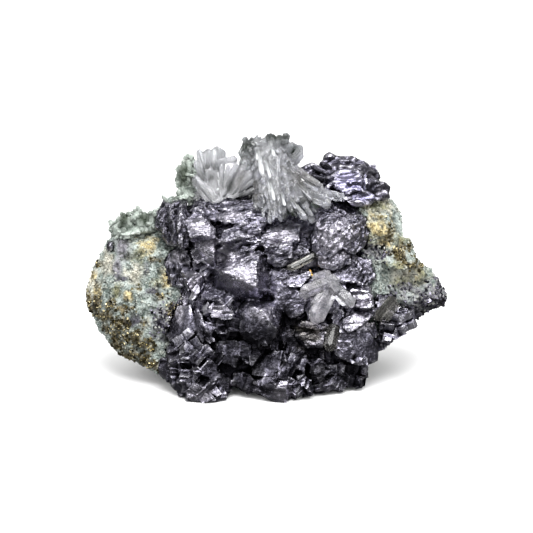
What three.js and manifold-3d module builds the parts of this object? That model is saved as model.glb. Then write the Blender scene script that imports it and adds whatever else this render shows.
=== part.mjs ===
// A galena specimen: lead-grey galena crystals grown together in a pocket of green chlorite rock, with
// sprays of quartz along its top, clear quartz on its front and a partly melted galena crown.
//
// Units are millimetres. Everything is laid out in the frame of the display face: x runs to the right,
// y up the face and z out of it. The face leans back on its base, so the whole group is turned by LEAN.
import * as THREE from "three";
import { ConvexGeometry } from "three/addons/geometries/ConvexGeometry.js";
import { ConvexHull } from "three/addons/math/ConvexHull.js";
import { ImprovedNoise } from "three/addons/math/ImprovedNoise.js";
import { TessellateModifier } from "three/addons/modifiers/TessellateModifier.js";
import { mergeVertices } from "three/addons/utils/BufferGeometryUtils.js";
import Module from "manifold-3d";

const wasm = await Module();
wasm.setup();

// ---------------------------------------------------------------- driving dimensions

const LEAN = THREE.MathUtils.degToRad(18); // the display face leans back from the vertical
const FOOT_DEPTH = 14; // how far the front foot stands out of the face, level with y = 0
const SEAM = 0.35; // clearance between minerals that touch
const ROCK_FACET = 13; // longest edge of a facet of the rough matrix
const ROCK_RELIEF = 1.2; // height of the matrix's lumps and hollows
const ROCK_WAVE = 8; // distance from one lump to the next
const FLATNESS = 9; // degrees within which two facets are one face
const ROOT_DEPTH = 5; // how far a galena crystal runs in behind the corners that it shows
const ROOT_LIMIT = -8; // no root ends behind this depth, unless its crystal stands there
const STOUT = 2.35; // quartz of at least this radius shows all six faces at its point
const QUARTZ_SLOPE = THREE.MathUtils.degToRad(40); // steepness of the faces at a quartz crystal's point

const v = (x, y, z) => new THREE.Vector3(x, y, z);
const points = (corners) => corners.map((corner) => v(...corner));

const UP = v(0, Math.cos(LEAN), Math.sin(LEAN)); // the true vertical, in the frame of the face
const FLOOR = FOOT_DEPTH * Math.sin(LEAN); // distance along UP of the surface that it rests on

// ---------------------------------------------------------------- solids

// A repeatable stream of numbers from 0 to 1.
function dice(seed) {
  let state = seed >>> 0;
  return () => {
    state = (state + 0x6d2b79f5) >>> 0;
    let t = Math.imul(state ^ (state >>> 15), state | 1);
    t ^= t + Math.imul(t ^ (t >>> 7), t | 61);
    return ((t ^ (t >>> 14)) >>> 0) / 2 ** 32;
  };
}

// A closed geometry as a solid that can be joined and cut.
function solid(geometry) {
  const bare = new THREE.BufferGeometry();
  bare.setAttribute("position", geometry.getAttribute("position").clone());
  if (geometry.index) bare.setIndex(geometry.index.clone());
  const merged = mergeVertices(bare, 1e-4);
  return new wasm.Manifold(
    new wasm.Mesh({
      numProp: 3,
      vertProperties: new Float32Array(merged.getAttribute("position").array),
      triVerts: new Uint32Array(merged.index.array),
    }),
  );
}

const join = (solids) => solids.reduce((whole, next) => whole.add(next));
const cut = (body, tools) => tools.reduce((rest, tool) => rest.subtract(tool), body);

// The faces of the hull of some points, each { normal, distance } with its normal pointing out. Faces
// that are nearly level with one another become one flat face.
function facesAround(corners, flatness = FLATNESS) {
  const level = Math.cos(THREE.MathUtils.degToRad(flatness));
  const planes = [];
  for (const face of new ConvexHull().setFromPoints(corners).faces) {
    const isKnown = planes.some((plane) => plane.normal.dot(face.normal) > level);
    if (!isKnown) planes.push({ normal: face.normal.clone(), distance: face.constant });
  }
  return planes;
}

// The point where three planes meet, or null where they are nearly parallel.
function meeting(p, q, r) {
  const qr = q.normal.clone().cross(r.normal);
  const volume = p.normal.dot(qr);
  if (Math.abs(volume) < 1e-4) return null;
  const rp = r.normal.clone().cross(p.normal);
  const pq = p.normal.clone().cross(q.normal);
  qr.multiplyScalar(p.distance);
  qr.addScaledVector(rp, q.distance);
  qr.addScaledVector(pq, r.distance);
  return qr.divideScalar(volume);
}

// The solid bounded by planes, with each plane moved out by the clearance.
function bounded(planes, clearance) {
  const moved = planes.map(({ normal, distance }) => ({ normal, distance: distance + clearance }));
  const corners = [];
  for (let a = 0; a < moved.length; a++)
    for (let b = a + 1; b < moved.length; b++)
      for (let c = b + 1; c < moved.length; c++) {
        const corner = meeting(moved[a], moved[b], moved[c]);
        if (!corner) continue;
        if (moved.some((plane) => plane.normal.dot(corner) > plane.distance + 1e-5)) continue;
        if (corners.some((known) => known.distanceTo(corner) < 1e-3)) continue;
        corners.push(corner);
      }
  return solid(new ConvexGeometry(corners));
}

// ---------------------------------------------------------------- galena

// A crystal from the corners that it shows. Behind them its sides run straight in to a flat root.
function crystal(corners, clearance) {
  const shown = points(corners);
  const deepest = Math.min(...shown.map((p) => p.z));
  const root = Math.min(deepest - 2, Math.max(deepest - ROOT_DEPTH, ROOT_LIMIT));
  const behind = shown.map((corner) => v(corner.x, corner.y, root));
  return bounded(facesAround([...shown, ...behind]), clearance);
}

const crystals = (family, clearance) =>
  join(Object.values(family).map((corners) => crystal(corners, clearance)));

// The main mass, crystal by crystal from the top left to the bottom right.
const CLUSTER = {
  // the ridge at the upper left, with its upright folds
  hornOuter: [
    [-33.4, 56, -4], [-31.2, 61.2, -5], [-29.3, 55, 1.5], [-33.8, 52, -1], [-30, 50.4, 2.4],
    [-29, 58.4, -1],
  ],
  hornMiddle: [
    [-29, 59, -1], [-27, 60.4, -2], [-26.2, 52, 4.6], [-27, 46.2, 5], [-30, 47, 3],
    [-31.8, 49.4, 1], [-29.4, 54, 3],
  ],
  hornInner: [
    [-26.8, 60.6, -3], [-24.4, 60, -1.5], [-23.8, 52, 4], [-23.4, 46.6, 4], [-26, 45.6, 6],
    [-26.8, 52, 6], [-25.6, 58.4, 2.6],
  ],
  behindTop: [
    [-24.4, 57.6, -2], [-21.6, 60.6, -5], [-16, 60.6, -4], [-13.6, 58, -2], [-15.4, 54, 1],
    [-22, 56.6, 1.4],
  ],
  topLeft: [
    [-24.4, 55.6, 1.4], [-22, 56.8, 0.4], [-18.2, 54.4, 3.4], [-15.6, 51.4, 5.6],
    [-15.2, 48.8, 6.4], [-23, 48.8, 8.4], [-20, 50, 8.8], [-24.4, 53, 4.6], [-22.4, 47.8, 6],
  ],
  belowTopLeft: [
    [-22.8, 47.8, 2.6], [-15.8, 47.8, 3.2], [-15.6, 44.4, 4], [-17, 41, 3.6], [-15.8, 36.4, 1.4],
    [-19.6, 36.2, 1.4], [-22, 44, 2.6],
  ],
  sideFlake: [
    [-24.2, 38.4, 3.6], [-22.4, 40, 2.6], [-20.8, 39, 3.6], [-19.8, 34.6, 5], [-22, 30.4, 6],
    [-24.4, 35.6, 4.6],
  ],
  sideUpper: [
    [-30.6, 43.4, -0.6], [-27, 46.2, 1.4], [-24, 44.6, 3], [-23.4, 39, 3.6], [-25, 34, 3],
    [-30.6, 35, 0.6], [-31, 41, 0],
  ],
  // the stepped bands across the upper middle
  crestBand: [
    [-14.2, 59.6, -4], [-9, 62.8, -6], [-5, 63.6, -6], [-2.4, 60.4, -3], [-3.6, 57.4, 1],
    [-12, 57, 1.4], [-15, 57.8, -1],
  ],
  brightBand: [
    [-15.4, 56.2, 0], [-9, 57.4, 1], [-1, 57, 1.6], [0.4, 55.2, 3], [-0.6, 52.4, 4.4],
    [-9.4, 53.6, 5.4], [-12.6, 53.2, 5.4], [-15, 54.4, 2.6],
  ],
  middleBand: [
    [-11, 52.4, 4.6], [-5, 53.6, 3.4], [-1, 51.8, 4], [-3.4, 49.4, 7.4], [-9, 49.8, 8],
    [-11.4, 47.8, 8.2], [-15.4, 47.4, 6], [-13, 51, 6],
  ],
  underBand: [
    [-11.6, 47.6, 7], [-4, 49.2, 7], [-1, 48.4, 6], [-4.4, 45, 7], [-9, 45, 6.4], [-12, 43.4, 5.4],
    [-15, 45.4, 4.6],
  ],
  ribbed: [
    [-2.6, 50.4, 3], [2.6, 52, 2.6], [4, 50, 6], [3, 46.6, 7], [-1, 46.4, 6.6], [-3.4, 48, 5.6],
  ],
  upperCentre: [
    [3, 52.4, 2], [7, 54.2, 1], [10, 52.6, 2.4], [9.6, 48, 6], [6, 46.4, 8.6], [3.2, 48, 7.4],
  ],
  centre: [
    [-0.8, 46, 6], [3.4, 46.8, 8], [8.4, 47, 7], [7.4, 43.4, 8.6], [5.8, 40.8, 8], [2.8, 40, 8],
    [0.4, 41.8, 7],
  ],
  prism: [[9.6, 47, 4.8], [12, 46, 5], [13, 44.2, 5.4], [9, 41.8, 7], [5, 40.6, 7], [8, 44.6, 7.4]],
  // the large triangular crystal
  triangle: [
    [-15.6, 40, 5.6], [-13.4, 38.6, 9.4], [-3.2, 42, 10.6], [-3, 34.2, 13], [-0.6, 45.2, 4.6],
    [-9, 45.4, 4], [0.6, 40, 4], [0.4, 31.8, 5.6], [-2.6, 31, 8.4], [-9.6, 30.4, 6.4],
    [-15.8, 32.6, 4.4],
  ],
  // the etched dome at the upper right
  domeTop: [
    [14.4, 57.4, 0.4], [19, 59.6, -1.6], [24.4, 58.8, -1], [27.4, 57, 1.4], [29.8, 54.6, 2],
    [25, 51.8, 8.8], [20, 51, 9.6], [15.4, 51.4, 7], [13.8, 54, 3.6],
  ],
  domeLeft: [
    [14.2, 52, 5], [20, 51.4, 9.2], [24.2, 50.4, 9.4], [22.4, 45.8, 10.2], [19, 43, 9.4],
    [15.4, 42.4, 8], [13.4, 44.6, 6.6], [13.4, 49, 5.6],
  ],
  domeRight: [
    [24.8, 53, 7.4], [30, 54.6, 2], [30.8, 50, 3], [29.4, 46.6, 4.6], [26, 44, 8],
    [22.2, 45.6, 9.8], [24, 50.6, 9.2],
  ],
  domeFoot: [
    [14.6, 43.4, 5], [19, 44, 8.6], [24.6, 44.4, 7.4], [25.2, 41, 7.6], [20.4, 39.2, 8.8],
    [15, 40.6, 7.6],
  ],
  // the middle, where the lying quartz and the clear quartz grow
  darkFace: [
    [6, 39.2, 5.4], [12.6, 39.6, 5.6], [13.4, 37.6, 6.8], [10, 34.2, 8.6], [6.4, 34.4, 8.6],
  ],
  darkSlope: [
    [0.8, 39.4, 5], [5.8, 39.6, 6], [6, 36, 7.4], [9, 33.4, 7.4], [7, 24.6, 8], [2.8, 30, 8.2],
    [0.8, 32, 6.6],
  ],
  shade: [
    [6, 33, 6.6], [9.6, 33, 7.6], [12, 30.4, 7.8], [10.6, 26, 8.4], [7, 24.4, 8.4], [5, 28, 7.6],
  ],
  quartzSeat: [
    [11, 38, 5], [20, 40, 5], [24, 34, 6.6], [21, 26.8, 7.6], [12, 25.4, 7.2], [10, 32, 7],
  ],
  rightUpper: [
    [19.4, 41.4, 6], [26.2, 43.8, 4.6], [28.6, 40, 4.8], [26.6, 35.6, 6.8], [22.4, 35.4, 8],
    [18.8, 38, 7.8],
  ],
  rightEdge: [[27, 43.6, 3], [31.4, 42.4, 2], [32.8, 37, 3], [29.6, 34.2, 6], [26.2, 35.8, 6.6]],
  // the tilted block at the right and the dark crystals under it
  tablet: [
    [22.8, 24.8, 7.6], [27, 27, 6.4], [32.4, 28.4, 3], [33.4, 27, 4.4], [28, 22.4, 8.6],
    [24.4, 20.4, 10.2], [22.8, 22, 10.2],
  ],
  underTablet: [
    [25, 20.8, 6.4], [29, 23.2, 4.6], [32.4, 23.8, 2.4], [33.6, 19.8, 2.6], [31, 18.2, 5],
    [26.4, 18.4, 7],
  ],
  lowerRight: [
    [19, 15.2, 8.6], [22, 12.8, 9.4], [26, 11.2, 9.2], [30, 10.6, 7], [33.3, 12.2, 3.6],
    [33.6, 17.2, 2.4], [31, 18.8, 4.6], [27, 19.2, 7.4], [24, 20.8, 8.6], [21, 21.2, 8.8],
  ],
  column: [[19.8, 27, 5.6], [22.8, 27.4, 5.8], [23.4, 21, 8.8], [21, 20, 9.4], [19.6, 22, 8.6]],
  // lower left, down to the foot
  leftHigh: [
    [-19.8, 32.2, 5.6], [-17.4, 34.2, 4], [-12.4, 33.4, 5.4], [-10, 31, 7.4], [-11, 29.4, 9.4],
    [-15.4, 30, 9.8], [-19.4, 30.2, 8],
  ],
  leftBright: [
    [-18.8, 27.8, 8], [-15, 30.4, 8.8], [-12.2, 29, 9.6], [-9.6, 26.2, 10.6], [-12, 24, 11.2],
    [-16, 25.4, 10.6], [-18.8, 26, 9.2],
  ],
  leftUnder: [
    [-17.6, 25.4, 7.4], [-10, 25.6, 9], [-8.8, 21, 10.6], [-11, 19.4, 11.2], [-15, 19.8, 10.6],
    [-17.6, 22, 9],
  ],
  leftColumn: [
    [-21.2, 27, 7], [-20, 26.8, 8.6], [-18, 21.4, 10.4], [-15.2, 18.4, 10.2], [-17.2, 17.6, 10.8],
    [-20.4, 19.4, 9.4], [-21.8, 22, 7.8],
  ],
  leftPlain: [
    [-30, 20, 4.4], [-27, 28.6, 2.6], [-22.4, 28.6, 5.4], [-21.4, 20, 9], [-24.4, 18, 9.2],
    [-28.4, 17.2, 6.4],
  ],
  stepped: [
    [-25.2, 18, 7.4], [-21.6, 20, 7.4], [-18.4, 18.6, 8.4], [-16.4, 14.8, 10.6], [-20.4, 12.2, 13],
    [-22.2, 12.8, 13], [-25.4, 15.2, 10.6],
  ],
  darkBlock: [
    [-22.4, 11.6, 12], [-16.4, 14.2, 10.4], [-14.6, 11.6, 11], [-14.6, 9.2, 12], [-17.4, 7, 13.8],
    [-20, 7.6, 13.8], [-22.4, 9.6, 13],
  ],
  sparkBlock: [
    [-24.8, 10, 10.6], [-21, 9.6, 12.4], [-19.6, 8.2, 13.2], [-24.4, 4.8, 13], [-25.6, 7, 11.6],
  ],
  scatter: [
    [-30.2, 15.6, 6], [-27.6, 17, 6.6], [-25.2, 16, 9], [-23.8, 12.2, 11.2], [-26.6, 11.2, 10.2],
    [-30, 12.8, 7.6],
  ],
  leftEdge: [
    [-32.4, 9.4, 5.6], [-29.4, 6.6, 7.4], [-27.8, 4, 8.6], [-26, 2.2, 10], [-24, 5, 12.4],
    [-24, 9.6, 11.2], [-27.6, 11.8, 9], [-31.8, 12, 6],
  ],
  foot: [
    [-25.8, 3, 10.4], [-24.4, -0.4, 12], [-20, -1.4, 13.6], [-16, 0.4, 14.2], [-12.6, 1.6, 12.6],
    [-11, 3, 11.2], [-10.8, 6, 10.4], [-13.6, 9, 12.4], [-18.6, 4, 15.2], [-20.8, 4.6, 15],
    [-24.6, 5, 12.8],
  ],
  // the great rounded crystal and its neighbours
  great: [
    [-8.6, 24.4, 11], [-8.4, 20, 12], [-6.4, 28, 11.2], [-4, 28.4, 12.8], [-1, 27, 14.2],
    [0.6, 24.4, 15.2], [3, 21.4, 14.8], [2.6, 19.4, 14.4], [0, 17.6, 14.2], [-2, 15.6, 12.6],
    [-6, 30.2, 7.6], [3, 30, 7.6], [4.8, 26, 8.2], [4.6, 21, 9.2], [-9.2, 27, 7.6],
  ],
  greatFoot: [
    [-8.2, 18.4, 9.6], [-5, 18.8, 10.6], [-2, 15.2, 12.2], [-2.4, 13.2, 12.6], [-5.6, 10.6, 12.4],
    [-7.6, 12, 11.8], [-8.8, 15, 10.8],
  ],
  lowDark: [
    [-15.4, 17.4, 8], [-9, 18.8, 9], [-8, 14, 11], [-9.4, 10.4, 11.6], [-14, 11.8, 10.4],
    [-15.8, 14, 8.8],
  ],
  // the cracked stack under the clear quartz
  stackUpper: [
    [9, 24.2, 5.6], [13.5, 25.2, 4.8], [19, 23.8, 4.6], [19.8, 21.7, 7.6], [15, 21.8, 9.6],
    [9, 22.9, 9.2],
  ],
  stackLower: [
    [8, 20.4, 8.6], [13, 21.2, 8.2], [18.8, 20.9, 7.4], [17.8, 18.4, 10], [16.4, 16, 10.2],
    [12.2, 15.8, 9.8], [10.6, 17.7, 10.4], [8.8, 18.8, 9.6], [13, 18.9, 10.9],
  ],
  // the lower edge
  dark: [
    [-5, 9.4, 8], [-1, 14.8, 7.6], [6, 15, 7.4], [11.6, 14, 8], [9, 11, 9.6], [3, 8.6, 10.6],
    [-3, 8, 10],
  ],
  splinterLow: [
    [5.4, 10.8, 9.4], [11.4, 14.6, 8.6], [12.6, 13, 9.8], [10.6, 8.4, 11.4], [6.4, 8.8, 11.2],
  ],
  chinLeft: [
    [-10.4, 5.6, 9], [-8, 4, 10.4], [-5.4, 2.8, 11], [-4, 2.8, 11.6], [-4, 7, 11], [-6, 9.2, 9],
    [-10, 8.6, 8],
  ],
  chin: [
    [-1, 7.2, 12], [3, 8.8, 11], [6.4, 9, 11.4], [9.4, 4.6, 12.6], [8.4, 2.1, 13],
    [4.2, -0.4, 13.6], [1.4, 0.4, 13.4], [-0.4, 2.6, 12.6], [-3.2, 2.9, 12], [-4.8, 6, 11.4],
    [2.6, 5, 14.8],
  ],
  chinRight: [
    [8.8, 7.2, 11.4], [11, 8.4, 11], [13.6, 6.6, 11.6], [14.2, 3.4, 12], [12, 2, 12.6],
    [9.6, 2.1, 12.6], [8.8, 4.6, 13],
  ],
  bright: [
    [12.2, 13, 8.4], [15.6, 13.4, 8.4], [18, 11, 9.6], [17.8, 7, 10.4], [15.2, 6, 12],
    [14, 8.8, 12.2], [12.8, 10.6, 11.2],
  ],
  keel: [
    [18, 9.8, 6.4], [24, 10.4, 5.4], [30, 10, 3], [29.9, 8, 3], [28.8, 5.8, 4], [26.6, 5.7, 4.6],
    [20, 3.4, 8], [14.4, 2.7, 10], [14.8, 5.4, 10.6],
  ],
};

// The galena behind the crystals, which ties them into one mass.
const CORE = [
  [-27, 49, -4], [-20, 55, -7], [-6, 56, -5], [12, 57, -5], [24, 54, -5], [28, 48, -2],
  [30, 36, -1], [30, 18, -1], [26, 9, 0], [8, 6, 5], [-8, 8, 4], [-22, 5, 6], [-27, 12, 2],
  [-27, 26, -1], [-26, 40, -2], [0, 40, 2], [0, 25, 4], [18, 45, 3], [-15, 25, 2], [-22, 46, -14],
  [22, 48, -14], [22, 16, -12], [-22, 18, -12],
];

// Three bright plates, one above the other with gaps between, in the right half of the mass.
const PLATE_STEP = 2.1;
const PLATE_THICKNESS = 1.2;

function plates(clearance) {
  const stack = [0, 1, 2].map((step) => {
    const top = 33.6 - PLATE_STEP * step;
    const left = 25 + 0.6 * step;
    const front = 7.6 + 0.7 * step;
    const low = top - PLATE_THICKNESS;
    return crystal(
      [
        [left, top, front - 3], [left + 5.4, top + 0.4, front - 4], [left + 5.8, top - 0.6, front],
        [left, top - 0.2, front], [left, low, front], [left + 5.8, low - 0.4, front - 0.2],
      ],
      clearance,
    );
  });
  return join(stack);
}

function clusterSolid(clearance) {
  const core = bounded(facesAround(points(CORE)), clearance);
  return join([core, crystals(CLUSTER, clearance), plates(clearance)]);
}

// The crown at the upper right: broad smooth faces with softened edges and a dark rim.
const CROWN = {
  face: [
    [20.4, 68.4, -1], [22, 70.8, -2], [26, 70.8, -2], [28.6, 67, 1.4], [28.6, 63, 3.6],
    [24, 61.8, 4.2], [20.8, 64, 3], [20.2, 66.4, 1.8],
  ],
  rim: [
    [16.2, 70.8, -5], [18.4, 73.6, -7], [21, 73.4, -6], [25.6, 73.3, -6], [29, 72.5, -6.4],
    [30.6, 71, -5], [28, 69.4, -1.6], [21, 69.8, -2], [17.8, 69.8, -3.4],
  ],
  right: [
    [28.4, 70.8, -3], [32.7, 70.9, -7], [34.1, 67.4, -6], [33.2, 65.4, -3], [29.4, 65.2, 1],
    [28, 67.6, 0.6],
  ],
  cheek: [
    [29, 65.8, 0.6], [33, 66.2, -2.6], [36.2, 65.3, -4.6], [37.3, 64.2, -5], [36.6, 61, -4],
    [33.4, 60.4, 0], [29.4, 62.2, 2.2],
  ],
  lip: [
    [23.4, 62.4, 2.6], [29, 63.4, 2.6], [32.4, 61.4, 1.6], [31, 59.4, 2.4], [27, 58.8, 3.6],
    [23, 60, 4],
  ],
  left: [
    [15, 68.6, -4], [17.4, 71, -4.6], [20.6, 70.6, -2], [20.8, 66, 1.6], [18, 63.8, 2.2],
    [14.8, 66.4, -1.4],
  ],
  knob: [
    [18, 74.8, -7], [20, 74.8, -7], [20.4, 73.2, -5.4], [17.6, 73, -5.4], [19, 75, -6],
    [19, 73.4, -4.6],
  ],
  flake: [
    [9.6, 69.6, -6], [13.8, 71.4, -7], [16.2, 70, -6], [15.4, 67.4, -4], [10.4, 67.4, -4],
  ],
};
const CROWN_CORE = [
  [10, 66, -9], [18, 71, -10], [31, 69, -12], [35, 62, -12], [30, 59, -3], [20, 61, -2],
  [14, 65, -5], [20, 60, -16], [30, 60, -18], [24, 68, -16],
];

function crownSolid(clearance) {
  return crystals(CROWN, clearance).add(bounded(facesAround(points(CROWN_CORE)), clearance));
}

// The thin stepped plates under the right-hand tip.
const LEDGE = {
  plateLow: [
    [33.4, 19.8, 2.4], [34.8, 18.2, 4.8], [38.8, 18.2, 4], [41.8, 20.2, 2], [38.2, 21.8, 1.6],
    [35.4, 22, 1.6],
  ],
  plateLong: [[38.4, 20.2, 3], [44.8, 22.8, 0], [44, 24.8, -1.6], [39, 22.8, 1.4]],
  plateHigh: [
    [33.4, 24.6, 2], [36, 27.8, 0], [42.6, 27.2, -1.6], [43.2, 25.6, -0.4], [39.4, 23.4, 3],
    [34, 22.2, 4.6],
  ],
  tip: [[42.8, 26.8, -1.4], [46.3, 26.3, -3], [46, 24.9, -2.4], [43.8, 24.2, -0.6]],
  under: [
    [32.6, 18.8, 0.6], [37.4, 18.4, 0.4], [36.4, 16.8, 1], [34.8, 15.6, 1.4], [32.4, 15.8, 1.4],
  ],
  upper: [
    [33.4, 31.8, 0.6], [37.8, 33.2, -1.4], [38.6, 31, -0.6], [35.4, 27.3, 2.6], [32.4, 28, 3],
    [32.6, 30.6, 2],
  ],
  heart: [[34, 30, -1], [34, 20, -1], [38, 21, -1.6], [43.6, 25.2, -3], [38, 31, -3]],
};

// A small crystal by itself on the left side of the matrix.
const BEAD = {
  bead: [
    [-48.7, 46.8, -6], [-48.2, 48, -5.6], [-46.8, 47.8, -4], [-46.6, 45.6, -3.6],
    [-47.4, 44.8, -4.2], [-48.6, 45.4, -5.4], [-47.6, 46.6, -2.8],
  ],
};

// ---------------------------------------------------------------- quartz

// A six-sided crystal from its root to its point. Every second face of the point is set back.
function quartz([root, tip, radius], seed, clearance) {
  const roll = dice(seed);
  const start = v(...root);
  const axis = v(...tip).sub(start);
  const length = axis.length();
  const turn = new THREE.Quaternion().setFromUnitVectors(v(0, 0, 1), axis.normalize());
  const spin = 2 * Math.PI * roll();
  const local = [{ normal: v(0, 0, -1), distance: 0 }];
  for (let side = 0; side < 6; side++) {
    const angle = spin + (side * Math.PI) / 3;
    const out = v(Math.cos(angle), Math.sin(angle), 0);
    local.push({ normal: out, distance: radius * (0.84 + 0.2 * roll()) });
    if (side % 2 && radius < STOUT) continue;
    const face = out.clone().multiplyScalar(Math.cos(QUARTZ_SLOPE)).setZ(Math.sin(QUARTZ_SLOPE));
    const setBack = side % 2 ? 0.4 * radius : 0;
    local.push({ normal: face, distance: (length + setBack) * Math.sin(QUARTZ_SLOPE) });
  }
  const planes = local.map(({ normal, distance }) => {
    const turned = normal.clone().applyQuaternion(turn);
    return { normal: turned, distance: distance + turned.dot(start) };
  });
  return bounded(planes, clearance);
}

// Crystals grown from one clump, which may have a body of massive quartz round their roots.
function spray({ stems, clump, seed }, clearance) {
  const parts = stems.map((stem, i) => quartz(stem, seed + i, clearance));
  if (clump) parts.push(bounded(facesAround(points(clump)), clearance));
  return join(parts);
}

// Each stem is [root, tip, radius].
const SHEAF = {
  seed: 211,
  clump: [
    [-6.2, 76.8, -8], [-2, 79.2, -7], [2, 79.8, -7], [7, 78, -8], [9.8, 75, -8], [-6, 66, -8],
    [-2.8, 76.4, -3.4], [4.6, 74, -2], [-3, 59, 1], [3, 57, 2.6], [6.4, 63, 1.4], [-4, 56, -8],
    [7, 57, -9], [-5, 68, -15], [7, 68, -15], [-4, 55, -14], [7, 55, -14], [0, 77, -13],
    [6, 75, -13],
  ],
  stems: [
    // the long crystals that hang down the front and spread to the right
    [[0, 76, -4], [-0.8, 57.2, 3.2], 2.4],
    [[1.4, 76, -4], [2.2, 54, 5], 2.3],
    [[2.6, 76, -4], [5.2, 54.2, 6.2], 1.8],
    [[3.4, 74, -3], [8.1, 56.2, 8.4], 1.5],
    [[4.2, 72, -3], [11, 59, 8], 1.5],
    [[4.6, 72, -4], [13.9, 60, 6], 1.3],
    [[5, 73, -5], [16.8, 63.2, 3.2], 1.2],
    [[3.6, 66, -3], [12.6, 54.6, 6.8], 1.7],
    // the ones that reach across to the crown
    [[9, 63.6, -2], [23.4, 61, 6.4], 1.6],
    [[9, 63, -2], [19.4, 58.5, 7.4], 1.5],
    [[11, 63, -1], [13.7, 52.9, 8.6], 1.0],
    // the stubby crystals of the crest
    [[-5, 70, -7], [-6.6, 79, -7], 2.6],
    [[-3, 68, -7], [-3, 80.2, -6.8], 2.7],
    [[1, 70, -6], [1.3, 81.2, -6], 2.7],
    [[4.6, 70, -7], [5.4, 79.8, -7], 2.6],
    [[5, 68, -8], [10.4, 77.6, -8], 2.3],
    [[1, 66, -10], [1, 77.6, -14], 3],
  ],
};

const FAN = {
  seed: 307,
  clump: [
    [-23, 58.5, -5], [-10, 60, -4], [-18.6, 68, -5.6], [-21.6, 68, -8], [-8.4, 70.6, -7],
    [-7.6, 66, -6], [-20, 56, -10], [-10, 56, -10], [-18, 66, -13], [-12, 66, -13], [-12, 57, -13],
    [-18, 57, -13],
  ],
  stems: [
    [[-19.4, 64, -8], [-20.7, 76.6, -9], 1.1],
    [[-17.6, 63, -9], [-18.2, 76.4, -10], 1.8],
    [[-15.4, 63, -9], [-15.2, 77.2, -9.4], 1.8],
    [[-14.2, 63, -9], [-13.5, 76.4, -9.2], 1.3],
    // the broad pale crystals at the front of the fan
    [[-15.6, 59.4, -3.6], [-22.6, 68.4, -4.4], 2.0],
    [[-14.8, 59.6, -3.6], [-18.6, 71.4, -5], 1.8],
    // the parallel crystals that lean over to the sheaf
    [[-11.6, 60, -5], [-5.6, 74, -5.4], 1.6],
    [[-10.8, 60, -4], [-4, 70, -3], 1.3],
    [[-13.4, 62, -4], [-9.2, 72.2, -3.4], 0.8],
    // one that lies across
    [[-16.4, 72, -7.4], [-8.6, 73, -7.4], 1.2],
  ],
};

const FRONT = {
  seed: 401,
  stems: [
    [[20.6, 36, 10], [9.3, 31.9, 15.6], 2.2],
    [[19.4, 35, 10], [13.6, 23.8, 17.6], 2.5],
    [[18.6, 35.4, 9], [25.8, 28.4, 14.6], 2.4],
    [[21, 32.6, 9], [18.6, 34.6, 15.6], 2.1],
    [[18, 38, 7.4], [13.6, 36.4, 12.6], 1.5],
  ],
};

const LYING = { seed: 443, stems: [[[14.8, 44, 5], [5.8, 39.4, 9.2], 1.15]] };
const POINT = { seed: 449, stems: [[[19.8, 22.4, 7.6], [18.5, 15, 11.6], 1.8]] };
const SPAR = {
  seed: 457,
  stems: [
    [[37.8, 30.4, 0.6], [32.4, 24.2, 7.6], 1.5],
    [[39, 29, 0], [35.6, 24.3, 5.6], 1.1],
  ],
};

// Stubby crystals under a coat of chlorite.
const COATED_TOP = {
  seed: 463,
  clump: [
    [-27, 58.6, -6], [-21.4, 58.6, -6], [-21, 71, -8], [-23.6, 71.4, -7.4], [-26, 68, -6],
    [-25.6, 64, -3], [-22, 62, -13], [-24.6, 68, -13],
  ],
  stems: [
    [[-22, 64, -8], [-27.2, 70, -8], 2.1],
    [[-22, 65, -8], [-23.7, 74, -8], 1.8],
    [[-23, 62, -7], [-27.4, 61.4, -4], 1.5],
    [[-22, 66, -7], [-25, 67.6, -2.4], 1.6],
  ],
};

const COATED_LEFT = {
  seed: 479,
  clump: [
    [-47.4, 50, -8], [-33.4, 51, -6], [-34, 54.6, -7], [-40, 55.4, -7.4], [-44, 54.6, -8],
    [-46.4, 52.4, -6], [-44, 50, -2.4], [-37, 51, -2], [-45, 46.6, -15], [-36, 48.6, -16],
    [-40, 54, -14],
  ],
  stems: [
    [[-44, 52.4, -8], [-48, 53, -8], 1.7],
    [[-43, 52.4, -8], [-43.8, 56.8, -8], 2.3],
    [[-39, 52.6, -8], [-39, 57.8, -7.4], 2.1],
    [[-35.8, 52.6, -7], [-34.6, 57.5, -7], 1.8],
    [[-42, 52.4, -6], [-42.6, 54.4, -1.4], 1.7],
    [[-38, 52.4, -6], [-37.6, 54.4, -1.2], 1.8],
  ],
};

// ---------------------------------------------------------------- matrix

const noise = new ImprovedNoise();

// Lumps and hollows between about -1 and 1, at two scales.
function lumps(p, offset) {
  const at = p.clone().divideScalar(ROCK_WAVE);
  const coarse = noise.noise(at.x + offset, at.y - offset, at.z);
  at.multiplyScalar(2.3);
  const fine = noise.noise(at.x - offset, at.y, at.z);
  return coarse + 0.5 * fine;
}

// A broken lump of rock: the hull of its corners, split into facets and roughened.
function lump(corners, offset) {
  const split = new TessellateModifier(ROCK_FACET, 12).modify(new ConvexGeometry(points(corners)));
  const bare = new THREE.BufferGeometry();
  bare.setAttribute("position", split.getAttribute("position"));
  const skin = mergeVertices(bare, 1e-3);
  skin.computeVertexNormals();
  const position = skin.getAttribute("position");
  const normal = skin.getAttribute("normal");
  for (let i = 0; i < position.count; i++) {
    const p = v().fromBufferAttribute(position, i);
    const out = v().fromBufferAttribute(normal, i);
    p.addScaledVector(out, ROCK_RELIEF * (lumps(p, offset) - 0.3));
    position.setXYZ(i, p.x, p.y, p.z);
  }
  return solid(skin);
}

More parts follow.
